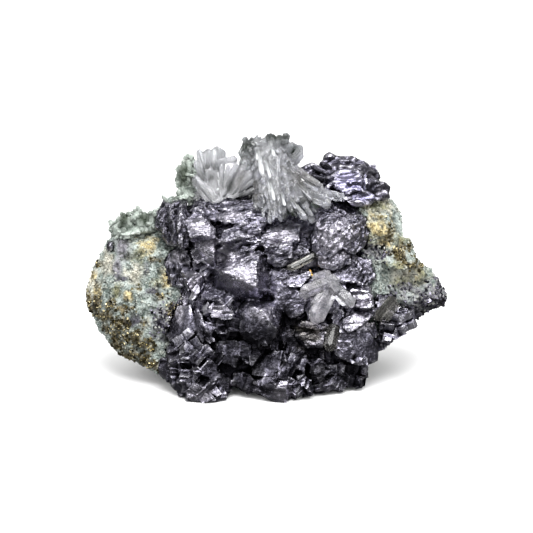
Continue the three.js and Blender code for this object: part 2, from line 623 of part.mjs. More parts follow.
const ROCK = {
  leftLobe: [
    [-47.2, 50.8, -8], [-40, 52.8, -9], [-33, 52, -8], [-49.4, 46, -9], [-52.8, 41, -9],
    [-54.6, 38, -9], [-55.4, 31.6, -8], [-54.8, 28, -7], [-51, 21, -5], [-46, 13.4, -3],
    [-40.2, 10.8, -1], [-34.4, 8, 2], [-27, 5, 3], [-42, 47, 0.6], [-50, 35, -1], [-43, 34, 3.6],
    [-46, 22, 2.4], [-38, 17, 4.4], [-33, 28, 4.6], [-34, 46, 1.4], [-24, 44, -1], [-47, 36, -22],
    [-46, 24, -20], [-36, 46, -24], [-36, 16, -20], [-22, 46, -20], [-20, 14, -20],
  ],
  shoulder: [
    [-35.6, 57, -8], [-31, 62, -9], [-25, 62.6, -9], [-24, 56, -4], [-35, 48, -4], [-26, 46, -4],
    [-34, 52, -18], [-26, 58, -18],
  ],
  rightCrust: [
    [27, 58.6, 0], [33, 62.6, -4], [38.6, 61.6, -10], [40.6, 58.2, -10], [41.8, 55.4, -10],
    [41.4, 51.4, -8], [41, 47, -3], [27, 46, 3], [30.6, 53, 4.4], [35.4, 55.4, 1.6], [36, 49.6, 3],
    [39, 56, -18], [39, 48, -20], [26, 58, -20], [24, 44, -20],
  ],
  overhang: [
    [34, 42, 3.6], [37, 48.4, 1], [43.6, 49.2, -6], [46, 45, -8], [45, 40.4, -3], [41.4, 39, 3.4],
    [37, 38.8, 5], [44, 45, -18], [36, 44, -20],
  ],
  tip: [
    [31, 41, 1.6], [45, 44, -9], [49.8, 41, -11], [54.6, 33.4, -12], [55.2, 31.2, -12],
    [51, 30.6, -6], [44, 29.2, -1.6], [36, 31, 1.4], [31, 33, 2], [54, 28.8, -14], [46, 24.6, -11],
    [35, 21, -8], [50, 37, -20], [44, 41, -24], [42, 27, -22], [30, 20, -18], [28, 42, -24],
  ],
  back: [
    [-28, 58, -10], [-27, 57, -20], [-6, 60, -14], [14, 61, -10], [34, 62.5, -13], [31, 60, -20],
    [-10, 57, -24], [-36, 40, -26], [38, 42, -25], [-20, 42, -29], [12, 44, -30], [-30, 22, -27],
    [34, 22, -26], [2, 26, -31], [-27, 4, -8], [-16, 5.8, 2], [14, 5.8, 2], [27, 4, -8],
    [-27, 4, -22], [26, 4, -24], [-26, 50, -6], [28, 50, -6],
  ],
};

const rockSolid = () => join(Object.values(ROCK).map((corners, i) => lump(corners, 3.1 * i + 0.7)));

// ---------------------------------------------------------------- assembly

const paint = (color, roughness, metalness) =>
  new THREE.MeshStandardMaterial({ color, roughness, metalness });
const STONE = paint(0x8f9a8c, 0.9, 0);
const GALENA = paint(0x6f6f7a, 0.35, 1);
const BRIGHT_GALENA = paint(0x8c8c98, 0.15, 1);
const QUARTZ = paint(0xcfd4d0, 0.15, 0);
const COATED = paint(0x8fa095, 0.8, 0);

// Everything above the surface that the specimen rests on, where its feet and base are flat.
function aboveFloor() {
  const side = 400;
  const half = new THREE.BoxGeometry(side, side, side).translate(0, 0, side / 2 + FLOOR);
  half.applyQuaternion(new THREE.Quaternion().setFromUnitVectors(v(0, 0, 1), UP));
  return solid(half);
}

// The main body of a cut solid, without the crumbs that a cut can leave.
function mainBody(body) {
  return body.decompose().sort((a, b) => b.volume() - a.volume())[0];
}

const specimen = new THREE.Group();
specimen.rotation.x = Math.PI / 2 - LEAN;

function addPiece(name, material, body) {
  const { vertProperties, triVerts } = mainBody(body).getMesh();
  const geometry = new THREE.BufferGeometry();
  geometry.setAttribute("position", new THREE.BufferAttribute(vertProperties, 3));
  geometry.setIndex(new THREE.BufferAttribute(triVerts, 1));
  const mesh = new THREE.Mesh(geometry, material);
  mesh.name = name;
  specimen.add(mesh);
}

// Each mineral makes room for the ones before it, and the matrix makes room for them all.
const MINERALS = [
  ["quartz_front", QUARTZ, (clearance) => spray(FRONT, clearance)],
  ["quartz_lying", QUARTZ, (clearance) => spray(LYING, clearance)],
  ["quartz_point", QUARTZ, (clearance) => spray(POINT, clearance)],
  ["quartz_spar", QUARTZ, (clearance) => spray(SPAR, clearance)],
  ["galena_cluster", GALENA, clusterSolid],
  ["galena_crown", BRIGHT_GALENA, crownSolid],
  ["galena_plates", GALENA, (clearance) => crystals(LEDGE, clearance)],
  ["galena_bead", GALENA, (clearance) => crystals(BEAD, clearance)],
  ["quartz_sheaf", QUARTZ, (clearance) => spray(SHEAF, clearance)],
  ["quartz_fan", QUARTZ, (clearance) => spray(FAN, clearance)],
  ["coated_quartz_top", COATED, (clearance) => spray(COATED_TOP, clearance)],
  ["coated_quartz_left", COATED, (clearance) => spray(COATED_LEFT, clearance)],
];

const above = aboveFloor();
const rooms = [];
for (const [name, material, build] of MINERALS) {
  addPiece(name, material, cut(build(0), rooms).intersect(above));
  rooms.push(build(SEAM));
}
addPiece("matrix_rock", STONE, cut(rockSolid(), rooms).intersect(above));

// The origin is the middle of the footprint, on the surface that it rests on.
const part = new THREE.Group();
part.add(specimen);
part.updateMatrixWorld(true);
const box = new THREE.Box3().setFromObject(part, true);
specimen.position.set(-(box.min.x + box.max.x) / 2, -(box.min.y + box.max.y) / 2, -box.min.z);

export default part;
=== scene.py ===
# %% [markdown]
# # A galena specimen, mineral by mineral
#
# A piece of ore from a hydrothermal vein, about as wide as a hand. Lead-grey galena fills the middle,
# green chlorite rock with grains of pyrite carries it left and right, and quartz grew last, along the
# top and here and there on the front.
#
# The solids give every mineral its place and its outline. Each step below takes one of them, explains
# what the real mineral looks like, and grows the detail that a solid leaves out.

# %% Load the solids
import math
import random

import bmesh
import bpy
import numpy as np
from mathutils import Matrix, Vector, noise
from mathutils.bvhtree import BVHTree


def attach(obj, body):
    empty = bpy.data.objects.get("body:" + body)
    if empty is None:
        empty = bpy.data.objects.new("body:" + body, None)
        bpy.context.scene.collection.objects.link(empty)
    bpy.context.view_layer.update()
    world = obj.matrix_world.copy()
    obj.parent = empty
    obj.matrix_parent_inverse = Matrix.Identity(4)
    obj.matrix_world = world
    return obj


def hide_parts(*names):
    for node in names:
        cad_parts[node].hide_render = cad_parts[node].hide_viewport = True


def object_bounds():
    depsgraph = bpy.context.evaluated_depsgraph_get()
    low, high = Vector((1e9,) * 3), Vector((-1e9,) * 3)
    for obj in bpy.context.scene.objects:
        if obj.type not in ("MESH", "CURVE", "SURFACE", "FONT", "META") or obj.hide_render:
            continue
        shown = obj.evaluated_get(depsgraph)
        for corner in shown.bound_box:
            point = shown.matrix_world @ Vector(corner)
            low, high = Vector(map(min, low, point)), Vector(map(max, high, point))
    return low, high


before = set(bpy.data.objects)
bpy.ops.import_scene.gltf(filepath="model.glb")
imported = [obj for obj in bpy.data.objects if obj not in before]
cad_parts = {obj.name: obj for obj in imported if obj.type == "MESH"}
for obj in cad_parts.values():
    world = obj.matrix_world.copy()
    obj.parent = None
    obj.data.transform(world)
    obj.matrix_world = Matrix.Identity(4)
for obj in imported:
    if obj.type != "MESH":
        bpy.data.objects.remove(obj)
size_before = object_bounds()
MM = 0.001  # metres in a millimetre
print("solids:", len(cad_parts))

# %% [markdown]
# ## The frame of the display face
#
# The specimen has one good side, which leans back by 18 degrees. Places on it are easiest to give in
# millimetres across, up and out of that face, so small functions turn such places into the model's
# metres and back.

# %% Places on the display face
LEAN = math.radians(18)
FACE_ZERO = (0.067, -14.210, -4.326)  # where the face's own zero lies, in millimetres


def on_face(across, up, out=0.0):
    """A point of the display face, in millimetres, as a point of the model, in metres."""
    return Vector(
        (
            (across + FACE_ZERO[0]) * MM,
            (up * math.sin(LEAN) - out * math.cos(LEAN) + FACE_ZERO[1]) * MM,
            (up * math.cos(LEAN) + out * math.sin(LEAN) + FACE_ZERO[2]) * MM,
        )
    )


def face_direction(across, up):
    """A direction that lies in the display face."""
    return (on_face(across, up) - on_face(0, 0)).normalized()


def face_places(mesh):
    """Where each vertex is on the display face: arrays of millimetres across, up and out."""
    spots = np.empty(len(mesh.vertices) * 3)
    mesh.vertices.foreach_get("co", spots)
    x, y, z = (spots.reshape(-1, 3) / MM - FACE_ZERO).T
    up = y * math.sin(LEAN) + z * math.cos(LEAN)
    out = z * math.sin(LEAN) - y * math.cos(LEAN)
    return x, up, out


# %% [markdown]
# ## Skins
#
# A piece starts as a copy of its solid. The import splits the vertices along sharp edges, so the copy
# merges them again. A bevel then keeps flat faces crisp, or a voxel remesh gives an even skin that can
# carry relief. Modifiers do the work, and `settle` keeps what they made as a plain mesh.

# %% Helpers for meshes
pieces = {}  # every finished piece by its name
LEAST_ISLAND = 50  # a loose part of a skin with fewer vertices is only a speck


def placed(name, data):
    """A new object in the scene that shows a mesh, a lamp or a camera."""
    thing = bpy.data.objects.new(name, data)
    bpy.context.scene.collection.objects.link(thing)
    return thing


def mesh_of(name, corners, faces):
    """A mesh from its corners and from the corners of each face."""
    mesh = bpy.data.meshes.new(name)
    mesh.from_pydata(corners, [], faces)
    return mesh


def copy_of(node, name):
    """A new object with a node's shape, its vertices merged into one closed skin."""
    work = bmesh.new()
    work.from_mesh(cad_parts[node].data)
    bmesh.ops.remove_doubles(work, verts=work.verts, dist=1e-6)
    work.verts.index_update()
    corners = [vertex.co.copy() for vertex in work.verts]
    faces = [[vertex.index for vertex in face.verts] for face in work.faces]
    work.free()
    return placed(name, mesh_of(name, corners, faces))


def paint_mask(mesh, name, values):
    """Keeps a number on every vertex, for the node trees and the materials to read."""
    layer = mesh.attributes.get(name) or mesh.attributes.new(name, "FLOAT", "POINT")
    layer.data.foreach_set("value", np.float32(values) * np.ones(len(mesh.vertices), np.float32))


def settle(piece):
    """Keeps what the modifiers make of a piece as its own plain mesh."""
    shown = piece.evaluated_get(bpy.context.evaluated_depsgraph_get())
    mesh = bpy.data.meshes.new_from_object(shown)
    piece.modifiers.clear()
    piece.data = mesh
    return piece


def crisp_skin(piece, width):
    """Keeps a piece's flat faces and rounds its edges by a hair, so that they catch the light."""
    edges = piece.modifiers.new("Edges", "BEVEL")
    edges.width, edges.segments, edges.limit_method = width, 2, "ANGLE"
    edges.angle_limit = math.radians(20)
    return settle(piece)


def drop_specks(mesh):
    """Deletes the loose little cubes that an even skin can leave beside a thin edge."""
    work = bmesh.new()
    work.from_mesh(mesh)
    unseen = set(work.verts)
    while unseen:
        island, front = [], [unseen.pop()]
        while front:
            vertex = front.pop()
            island.append(vertex)
            neighbours = {edge.other_vert(vertex) for edge in vertex.link_edges} & unseen
            unseen -= neighbours
            front.extend(neighbours)
        if len(island) < LEAST_ISLAND:
            bmesh.ops.delete(work, geom=island, context="VERTS")
    work.to_mesh(mesh)
    work.free()


def even_skin(piece, spacing):
    """Gives a piece an even mesh of small quads, fine enough to carry relief."""
    remesh = piece.modifiers.new("Even skin", "REMESH")
    remesh.mode = "VOXEL"
    remesh.voxel_size = spacing
    settle(piece)
    drop_specks(piece.data)
    return piece


def finish_piece(piece, material, node=None, smooth=None):
    """Paints a piece, keeps it inside the box of the solids, joins it to the model's body and hides the solid
    that it stands for.
    """
    mesh = piece.data
    spots = np.empty(len(mesh.vertices) * 3, np.float32)
    mesh.vertices.foreach_get("co", spots)
    spots = np.clip(spots.reshape(-1, 3), *size_before)
    mesh.vertices.foreach_set("co", spots.ravel())
    mesh.materials.clear()
    mesh.materials.append(material)
    if smooth:
        mesh.shade_smooth()
        mesh.set_sharp_from_angle(angle=math.radians(smooth))
    else:
        mesh.shade_flat()
    mesh.update()
    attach(piece, "root")
    if node:
        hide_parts(node)
    pieces[piece.name] = piece
    mesh.calc_loop_triangles()
    print(f"{piece.name}: {len(mesh.loop_triangles)} triangles")


# %% [markdown]
# ## Node trees that read like sums
#
# Relief, crystals and colours all come from node trees. Written out link by link, a tree is long and
# hard to follow. So each output of a node is wrapped as a `Signal`, which knows how to add, multiply and
# so on: `place * 4.0 + sway` adds the two nodes that work it out.

# %% Signals
HALF = (0.5, 0.5, 0.5)  # the middle of a noise that has three parts


def is_vector(value):
    """Whether a value has parts, as places and colours do, or is one number."""
    if isinstance(value, Signal):
        return value.socket.type in ("VECTOR", "RGBA")
    return not isinstance(value, (int, float))


def spaced(values):
    """Names with underscores, turned into the labels of sockets, which have spaces."""
    return {name.replace("_", " "): value for name, value in values.items()}


def plug(tree, socket, value):
    """Feeds a socket with a plain value or with a signal."""
    if isinstance(value, Signal):
        tree.links.new(value.socket, socket)
    else:
        socket.default_value = value


def add(tree, kind, inputs=None, **settings):
    """One node with its settings and its inputs. It returns the node's outputs."""
    node = tree.nodes.new(kind)
    node.location = (180 * (len(tree.nodes) % 8), -220 * (len(tree.nodes) // 8))
    for name, value in settings.items():
        setattr(node, name, value)
    for key, value in (inputs or {}).items():
        plug(tree, node.inputs[key], value)
    return Outputs(tree, node)


def calc(tree, operation, *values):
    """One sum, on vectors if any of the values is a vector."""
    kind = "ShaderNodeVectorMath" if any(map(is_vector, values)) else "ShaderNodeMath"
    return add(tree, kind, dict(enumerate(values)), operation=operation)


class Outputs:
    """The outputs of a node, by name or by number."""

    def __init__(self, tree, node):
        self.tree, self.node = tree, node

    def __getitem__(self, key):
        return Signal(self.tree, self.node.outputs[key])


def sign(operation, swapped=False):
    """What a plus, minus or division sign does to a signal."""
    return lambda self, other: calc(self.tree, operation, *((other, self) if swapped else (self, other)))[0]


class Signal:
    """What comes out of a node, ready for sums and patterns."""

    def __init__(self, tree, socket):
        self.tree, self.socket = tree, socket

    __add__ = __radd__ = sign("ADD")
    __sub__, __rsub__ = sign("SUBTRACT"), sign("SUBTRACT", swapped=True)
    __truediv__, __rtruediv__ = sign("DIVIDE"), sign("DIVIDE", swapped=True)

    def __mul__(self, other):
        if is_vector(self) == is_vector(other):
            return calc(self.tree, "MULTIPLY", self, other)[0]
        vector, number = (self, other) if is_vector(self) else (other, self)
        return add(self.tree, "ShaderNodeVectorMath", {0: vector, "Scale": number}, operation="SCALE")[0]

    __rmul__ = __mul__

    def __abs__(self):
        return calc(self.tree, "ABSOLUTE", self)[0]

    def dot(self, other):
        return calc(self.tree, "DOT_PRODUCT", self, other)["Value"]

    def unit(self):
        return calc(self.tree, "NORMALIZE", self)[0]

    def clamped(self):
        return add(self.tree, "ShaderNodeClamp", {"Value": self})[0]

    def remap(self, low, high, to_low=0.0, to_high=1.0, **settings):
        """Turns the range from low to high into another range, and stays inside it."""
        values = {"Value": self, "From Min": low, "From Max": high, "To Min": to_low, "To Max": to_high}
        return add(self.tree, "ShaderNodeMapRange", values, **settings)[0]

    def mixed(self, first, second):
        """The first colour where this signal is 0 and the second one where it is 1."""
        return add(self.tree, "ShaderNodeMix", {0: self, 6: first, 7: second}, data_type="RGBA")[2]

    def noise(self, per_metre, detail, **more):
        """Cloudy noise at these places: a number is output 0, and three parts are output 1."""
        values = {"Vector": self, "Scale": per_metre, "Detail": detail, **more}
        return add(self.tree, "ShaderNodeTexNoise", values)

    def cells(self, per_metre, **settings):
        """A pattern of cells at these places, with a random colour for each cell."""
        return add(self.tree, "ShaderNodeTexVoronoi", {"Vector": self, "Scale": per_metre}, **settings)


# %% [markdown]
# A tree is then a short function, a rule from the inputs that it is given to the result. The decorator
# `node_tree` runs the rule once and turns the function's name into the finished tree. Geometry trees
# change a piece through a modifier, and shader groups are patterns that several materials share.

# %% Trees from rules
def node_tree(kind, name, makes, **inputs):
    """Turns a rule into a node tree. Its sockets are given as labels by kind."""

    def build(rule):
        tree = bpy.data.node_groups.new(name, kind)
        for direction, sockets in (("OUTPUT", makes), ("INPUT", inputs)):
            for socket_kind, labels in sockets.items():
                for label in labels.split(", "):
                    tree.interface.new_socket(label, in_out=direction, socket_type="NodeSocket" + socket_kind)
        given = Outputs(tree, tree.nodes.new("NodeGroupInput"))
        end = tree.nodes.new("NodeGroupOutput")
        made = rule(tree, given)
        for socket, signal in zip(end.inputs, [made] if isinstance(made, Signal) else made):
            plug(tree, socket, signal)
        print(f"{name}: {len(tree.nodes)} nodes")
        return tree

    return build


def geometry_tree(name, **inputs):
    """A tree that changes a piece's shape."""
    return node_tree("GeometryNodeTree", name, {"Geometry": "Geometry"}, Geometry="Geometry", **inputs)


def shader_group(name, makes, **inputs):
    """A pattern that several materials share."""
    return node_tree("ShaderNodeTree", name, makes, **inputs)


def use(tree, shared, **values):
    """A shared tree as one node, with its inputs."""
    return add(tree, tree.bl_idname.replace("NodeTree", "NodeGroup"), spaced(values), node_tree=shared)


def position(tree):
    return add(tree, "GeometryNodeInputPosition")[0]


def facing(tree):
    return add(tree, "GeometryNodeInputNormal")[0]


def painted(tree, name):
    """A mask that was painted on the mesh."""
    return add(tree, "GeometryNodeInputNamedAttribute", {"Name": name}, data_type="FLOAT")[0]


def stored(tree, geometry, name, value, domain="POINT"):
    """Keeps a number on every point of a mesh, or on every instance."""
    values = {"Geometry": geometry, "Name": name, "Value": value}
    return add(tree, "GeometryNodeStoreNamedAttribute", values, data_type="FLOAT", domain=domain)[0]


def moved(tree, geometry, **where):
    """Moves the points of a mesh to a Position, or by an Offset."""
    return add(tree, "GeometryNodeSetPosition", {"Geometry": geometry, **where})[0]


def grow(piece, tree, **values):
    """Runs a node tree on a piece with these inputs, and settles the result."""
    modifier = piece.modifiers.new(tree.name, "NODES")
    modifier.node_group = tree
    sockets = {item.name: item.identifier for item in tree.interface.items_tree if item.in_out == "INPUT"}
    for label, value in spaced(values).items():
        modifier[sockets[label]] = value
    return settle(piece)


# %% [markdown]
# ## The shapes of small crystals
#
# Three small shapes repeat all over the specimen. Pyrite grows cubes. Chlorite grows rounded grains.
# Quartz grows six-sided prisms that end in a six-sided point. Each shape is made once, about one unit
# tall and with few faces, because a node tree later sets hundreds of them on a surface.

# %% Small crystals
def ring(radius, height):
    """Six corners of a level hexagon."""
    angles = [math.pi / 3 * side for side in range(6)]
    return [(radius * math.cos(a), radius * math.sin(a), height) for a in angles]


def sides(first):
    """The six faces between a ring of corners and the next one."""
    return [(first + i, first + (i + 1) % 6, first + (i + 1) % 6 + 6, first + i + 6) for i in range(6)]


def point(first, tip):
    """The six faces between a ring of corners and the tip."""
    return [(first + i, first + (i + 1) % 6, tip) for i in range(6)]


def prism_shape():
    """A quartz crystal: a root just under the surface, six sides and a point."""
    corners = ring(0.45, -0.15) + ring(0.5, 0.72) + [(0.06, 0.03, 1.0)]
    root = tuple(reversed(range(6)))
    prism = bpy.data.objects.new("prism", mesh_of("prism", corners, sides(0) + point(6, 12) + [root]))
    # The buried root ring gets painted shade in the quartz materials.
    paint_mask(prism.data, "buried", [1.0] * 6 + [0.0] * 7)
    return prism


def simple_shape(name, make, **sizes):
    """A closed shape that Blender knows how to make."""
    work = bmesh.new()
    make(work, **sizes)
    mesh = bpy.data.meshes.new(name)
    work.to_mesh(mesh)
    work.free()
    return bpy.data.objects.new(name, mesh)


PRISM = prism_shape()
GRAIN = simple_shape("grain", bmesh.ops.create_icosphere, subdivisions=1, radius=0.5)
CUBE = simple_shape("cube", bmesh.ops.create_cube, size=1.0)
print("small shapes:", [len(o.data.polygons) for o in (PRISM, GRAIN, CUBE)], "faces each")

# %% [markdown]
# ## A tree that scatters crystals
#
# Crystals start at random places, more of them where a mask painted on the surface is strong. Each one
# points away from the surface, or away from the centre that its whole group grew from, or something
# between the two. Sizes and turns vary from one to the next, and so does a number called tint, which
# lets a material make each crystal a little lighter or darker.

# %% The scattering tree
@geometry_tree(
    "Scatter crystals",
    Object="Shape",
    String="Mask",
    Float="Per Square Metre, Away From Centre, Lean",
    Vector="Smallest, Largest, Centre",
    Int="Seed",
    Material="Material",
)
def SCATTER(tree, given):
    def chance(offset, low, high):
        values = {0: low, 1: high, "Seed": given["Seed"] + float(offset)}
        return add(tree, "FunctionNodeRandomValue", values, data_type="FLOAT_VECTOR")[0]

    density = painted(tree, given["Mask"]) * given["Per Square Metre"]
    ground = {"Mesh": given["Geometry"], "Density": density, "Seed": given["Seed"]}
    places = add(tree, "GeometryNodeDistributePointsOnFaces", ground, distribute_method="RANDOM")
    outward = (position(tree) - given["Centre"]).unit()
    headings = {0: given["Away From Centre"], 4: places["Normal"], 5: outward}
    heading = add(tree, "ShaderNodeMix", headings, data_type="VECTOR")[1]
    heading = heading + chance(1, (-1.0, -1.0, -1.0), (1.0, 1.0, 1.0)) * given["Lean"]
    upright = add(tree, "FunctionNodeAlignRotationToVector", {"Vector": heading}, axis="Z")[0]
    spin = chance(2, (0.0, 0.0, 0.0), (0.0, 0.0, 2 * math.pi))
    spin = add(tree, "FunctionNodeEulerToRotation", {0: spin})[0]
    turned = add(tree, "FunctionNodeRotateRotation", {0: upright, 1: spin}, rotation_space="LOCAL")[0]
    crystals = add(
        tree,
        "GeometryNodeInstanceOnPoints",
        {
            "Points": places["Points"],
            "Instance": add(tree, "GeometryNodeObjectInfo", {"Object": given["Shape"]})["Geometry"],
            "Rotation": turned,
            "Scale": chance(3, given["Smallest"], given["Largest"]),
        },
    )[0]
    tint = add(tree, "FunctionNodeRandomValue", {"Seed": given["Seed"]}, data_type="FLOAT")[1]
    crystals = stored(tree, crystals, "tint", tint, domain="INSTANCE")
    real = add(tree, "GeometryNodeRealizeInstances", {0: crystals})[0]
    return add(tree, "GeometryNodeSetMaterial", {0: real, "Material": given["Material"]})[0]


def scatter(ground, name, **values):
    """A new object that holds crystals scattered over a copy of the ground."""
    return grow(placed(name, ground.data.copy()), SCATTER, **values)


def joined(name, *parts):
    """One object from one or more. Masks that a part lacks are filled with zero."""
    chosen = {"selected_editable_objects": list(parts), "selected_objects": list(parts)}
    with bpy.context.temp_override(active_object=parts[0], **chosen):
        if len(parts) > 1:
            bpy.ops.object.join()
    parts[0].name = parts[0].data.name = name
    return parts[0]


# %% [markdown]
# ## Crystals laid one by one
#
# The largest thin crystals have places of their own, so a rule can't grow them. Each is given by its
# root and its tip on the display face. A probe, which looks along a straight line at the skin below,
# finds how far out those places are, so the crystal lies on whatever it grew over.

# %% Laid crystals
PROBE_START = 200  # millimetres in front of the display face, well clear of the specimen


def skin_depth(piece):
    """A probe for a piece. It tells how far out the skin is at a place on the display face."""
    faces = [tuple(face.vertices) for face in piece.data.polygons]
    skin = BVHTree.FromPolygons(list(zip(*face_places(piece.data))), faces)

    def depth(place, otherwise):
        hit = skin.ray_cast(Vector((*place, PROBE_START)), Vector((0, 0, -1)))[0]
        return hit.z if hit else otherwise

    return depth


def blades(name, piece, crystals):
    """Six-sided crystals on a piece, each with its root, its tip, its width and the lift of its tip."""
    roll = random.Random(name)
    depth = skin_depth(piece)
    corners, faces, buried = [], [], []
    for root_across, root_up, tip_across, tip_up, width, lift in crystals:
        root, tip = (root_across, root_up), (tip_across, tip_up)
        run = math.dist(root, tip)
        low = depth(root, -3)
        high = min(max(depth(tip, low), low - 0.5 * run), low + 0.5 * run) + lift
        start, end = on_face(*root, low - 0.4 * width), on_face(*tip, high)
        length, wide = (end - start).length, width * MM
        turn = (end - start).to_track_quat("Z", "Y").to_matrix()
        turn = turn @ Matrix.Rotation(roll.uniform(0, 6), 3, "Z")
        first = len(corners)
        rings = ((0.0, 0.4), (length - 0.6 * wide, 0.5), (length - 0.16 * wide, 0.3))
        for height, share in rings:  # at the root, at the shoulder and just below the tip
            for x, y, z in ring(share * wide, height):
                x, y = x * roll.uniform(0.9, 1.05), y * roll.uniform(0.65, 0.85)
                corners.append(start + turn @ Vector((x, y, z + roll.uniform(-0.06, 0.06) * wide)))
        corners.append(end)
        # Root rings get painted shade in the material.
        buried += [1.0] * 6 + [0.0] * 13
        faces += sides(first) + sides(first + 6) + point(first + 12, first + 18)
        faces.append(tuple(first + i for i in reversed(range(6))))
    laid = placed(name, mesh_of(name, corners, faces))
    paint_mask(laid.data, "buried", buried)
    paint_mask(laid.data, "ridge", 0.6)
    return crisp_skin(laid, 0.0001)


# %% [markdown]
# ## Painted patches
#
# A mineral covers a patch here and a patch there, with ragged edges. Each patch is given as a soft
# round spot on the display face, and noise breaks up its edge. The result is kept on the vertices.

# %% Spots
EDGE_NOISE = ((1.0, 350, 0), (0.6, 950, 50))  # strength, waves per metre and shift of the seed
IN_THE_MIDDLE, FADE, FAR_OFF = 1.5, 1.2, -5.0  # a spot is full to 0.4 of its size and gone at 1.25
DISPLAY_END = -16  # millimetres out: whatever lies further back is not on the display face


def soft_noise(mesh, per_metre, seed):
    """A smooth random number from about -1 to 1 for each vertex."""
    shift = Vector((seed * 7.3, seed * 3.1, seed * 5.7))
    return np.array([noise.noise(vertex.co * per_metre + shift) for vertex in mesh.vertices])


def spots_mask(mesh, spots, ragged, seed, back=DISPLAY_END):
    """How strongly a vertex belongs to any of the spots, each (across, up, half width, half height)."""
    across, up, out = face_places(mesh)
    mask = np.full(len(across), FAR_OFF)
    for spot_across, spot_up, half_width, half_height in spots:
        reach = np.hypot((across - spot_across) / half_width, (up - spot_up) / half_height)
        mask = np.maximum(mask, IN_THE_MIDDLE - FADE * reach)
    edge = sum(strength * soft_noise(mesh, waves, seed + more) for strength, waves, more in EDGE_NOISE)
    return np.clip(mask + ragged * edge, 0, 1) * (out > back)


# %% [markdown]
# ## Ridges and recesses
#
# Edges of crystals are worn, and the materials paint them lighter as wear and as a painted highlight.
# Recesses get painted shade. The tree below compares each point with the average of the skin around
# it. A point above that average is on a ridge, a point below it is in a recess. The result is kept
# from 0 to 1, with flat places at a half.

# %% The ridge tree
@geometry_tree("Ridges and recesses", Int="Reach", Float="Height")
def RIDGES(tree, given):
    place = position(tree)
    around = {"Value": place, "Iterations": given["Reach"]}
    average = add(tree, "GeometryNodeBlurAttribute", around, data_type="FLOAT_VECTOR")[0]
    above = (place - average).dot(facing(tree))
    share = (above / given["Height"] * 0.5 + 0.5).clamped()
    return stored(tree, given["Geometry"], "ridge", share)


# %% [markdown]
# ## Shared surface patterns
#
# Six patterns appear in more than one material, so each is a shader group:
#
# - Glitter: galena cleaves along cube faces, so a broken face is a patchwork of tiny flats. Each flat
#   leans its own way and flashes or stays dark. A cell pattern leans the normal at random.
# - Mottle: minerals are never one colour. Two sizes of noise mix a light and a dark tone.
# - Striations: parallel lines on cleaved metal, turned another way in each patch.
# - Wrinkles: the same metal crumpled like foil, with low creases that run along one direction.
# - Rays: streaks in quartz that run away from the root of a bundle.
# - Roughening: fine grain, a tenth of a millimetre deep or so, on everything.

# %% Shader groups
STRETCH = 4.0  # how much longer a crest or a crease is than it is wide


def object_place(tree):
    """Places on the piece itself, so that a pattern stays on it when it moves."""
    return add(tree, "ShaderNodeTexCoord")["Object"]


def squeezed(place, along):
    """Places pressed together along a direction, so that a pattern on them runs long that way."""
    return place + along * (place.dot(along) * (1 / STRETCH - 1))


@shader_group("Glitter", {"Vector": "Normal"}, Float="Cells Per Metre, Lean")
def GLITTER(tree, given):
    cells = object_place(tree).cells(given["Cells Per Metre"], distance="CHEBYCHEV")
    leaning = (cells["Color"] - HALF) * given["Lean"]
    return (add(tree, "ShaderNodeNewGeometry")["Normal"] + leaning).unit()


@shader_group(
    "Mottle",
    {"Color": "Color", "Float": "Share"},
    Color="Light, Dark",
    Float="Patches Per Metre, Specks Per Metre, Contrast",
)
def MOTTLE(tree, given):
    place = object_place(tree)
    patches = place.noise(given["Patches Per Metre"], 3.0)[0]
    specks = place.noise(given["Specks Per Metre"], 2.0)[0]
    share = ((patches + specks - 1.0) * given["Contrast"] + 0.5).clamped()
    return share.mixed(given["Dark"], given["Light"]), share


@shader_group("Striations", {"Float": "Height"}, Float="Patch Size, Wave Scale, Wander")
def STRIATIONS(tree, given):
    place = object_place(tree)
    turn = place.cells(1.0 / given["Patch Size"])["Color"] * (math.pi / 2)
    turned = {"Vector": place, "Rotation": turn}
    local = add(tree, "ShaderNodeVectorRotate", turned, rotation_type="EULER_XYZ", invert=True)[0]
    lines = {
        "Vector": local,
        "Scale": given["Wave Scale"],
        "Distortion": given["Wander"],
        "Detail": 3.0,
        "Detail Scale": 2.0,
    }
    return add(tree, "ShaderNodeTexWave", lines, wave_profile="SAW")[1]


@shader_group("Wrinkles", {"Float": "Height"}, Vector="Along", Float="Lines Per Metre")
def WRINKLES(tree, given):
    place = squeezed(object_place(tree), given["Along"])
    waves = place.noise(given["Lines Per Metre"] * 0.5, 2.0, Distortion=0.4)[0]
    return 1.0 - abs(waves - 0.5) * 4.0


@shader_group("Rays from a root", {"Float": "Height"}, Vector="Root")
def RAYS(tree, given):
    place = object_place(tree)
    heading = (place - given["Root"]).unit()
    return (heading + place * 4.0).noise(60.0, 3.0)[0]


@shader_group("Roughening", {"Float": "Height"}, Float="Grains Per Metre")
def ROUGHENING(tree, given):
    return object_place(tree).noise(given["Grains Per Metre"], 4.0)[0]


# %% [markdown]
# The materials are built in one way: a ground colour that is mottled or differs from grain to grain,
# layers of paint where the masks say so, and relief that bends the light without moving the surface.

# %% Helpers for materials
def new_material(name):
    """A material with an empty surface, for `dress` to fill in."""
    material = bpy.data.materials.new(name)
    material.use_nodes = True
    return material


def dress(material, **values):
    """Sets the inputs of a material's surface."""
    tree = material.node_tree
    for label, value in spaced(values).items():
        plug(tree, tree.nodes["Principled BSDF"].inputs[label], value)
    return material


def tone(red, green, blue):
    """A colour as the eye reads it, 0 to 255, turned into the light values that Blender wants."""
    values = [c / 255 for c in (red, green, blue)]
    return (*[c / 12.92 if c <= 0.04045 else ((c + 0.055) / 1.055) ** 2.4 for c in values], 1.0)


def mask_of(tree, name):
    """A mask that was painted on the mesh."""
    return add(tree, "ShaderNodeAttribute", attribute_name=name)["Fac"]


def mottled(tree, light, dark, patches, specks, contrast=2.0):
    """Two tones mixed in patches and specks, so many of each per metre."""
    tones = {"Light": light, "Dark": dark}
    return use(tree, MOTTLE, Patches_Per_Metre=patches, Specks_Per_Metre=specks, Contrast=contrast, **tones)


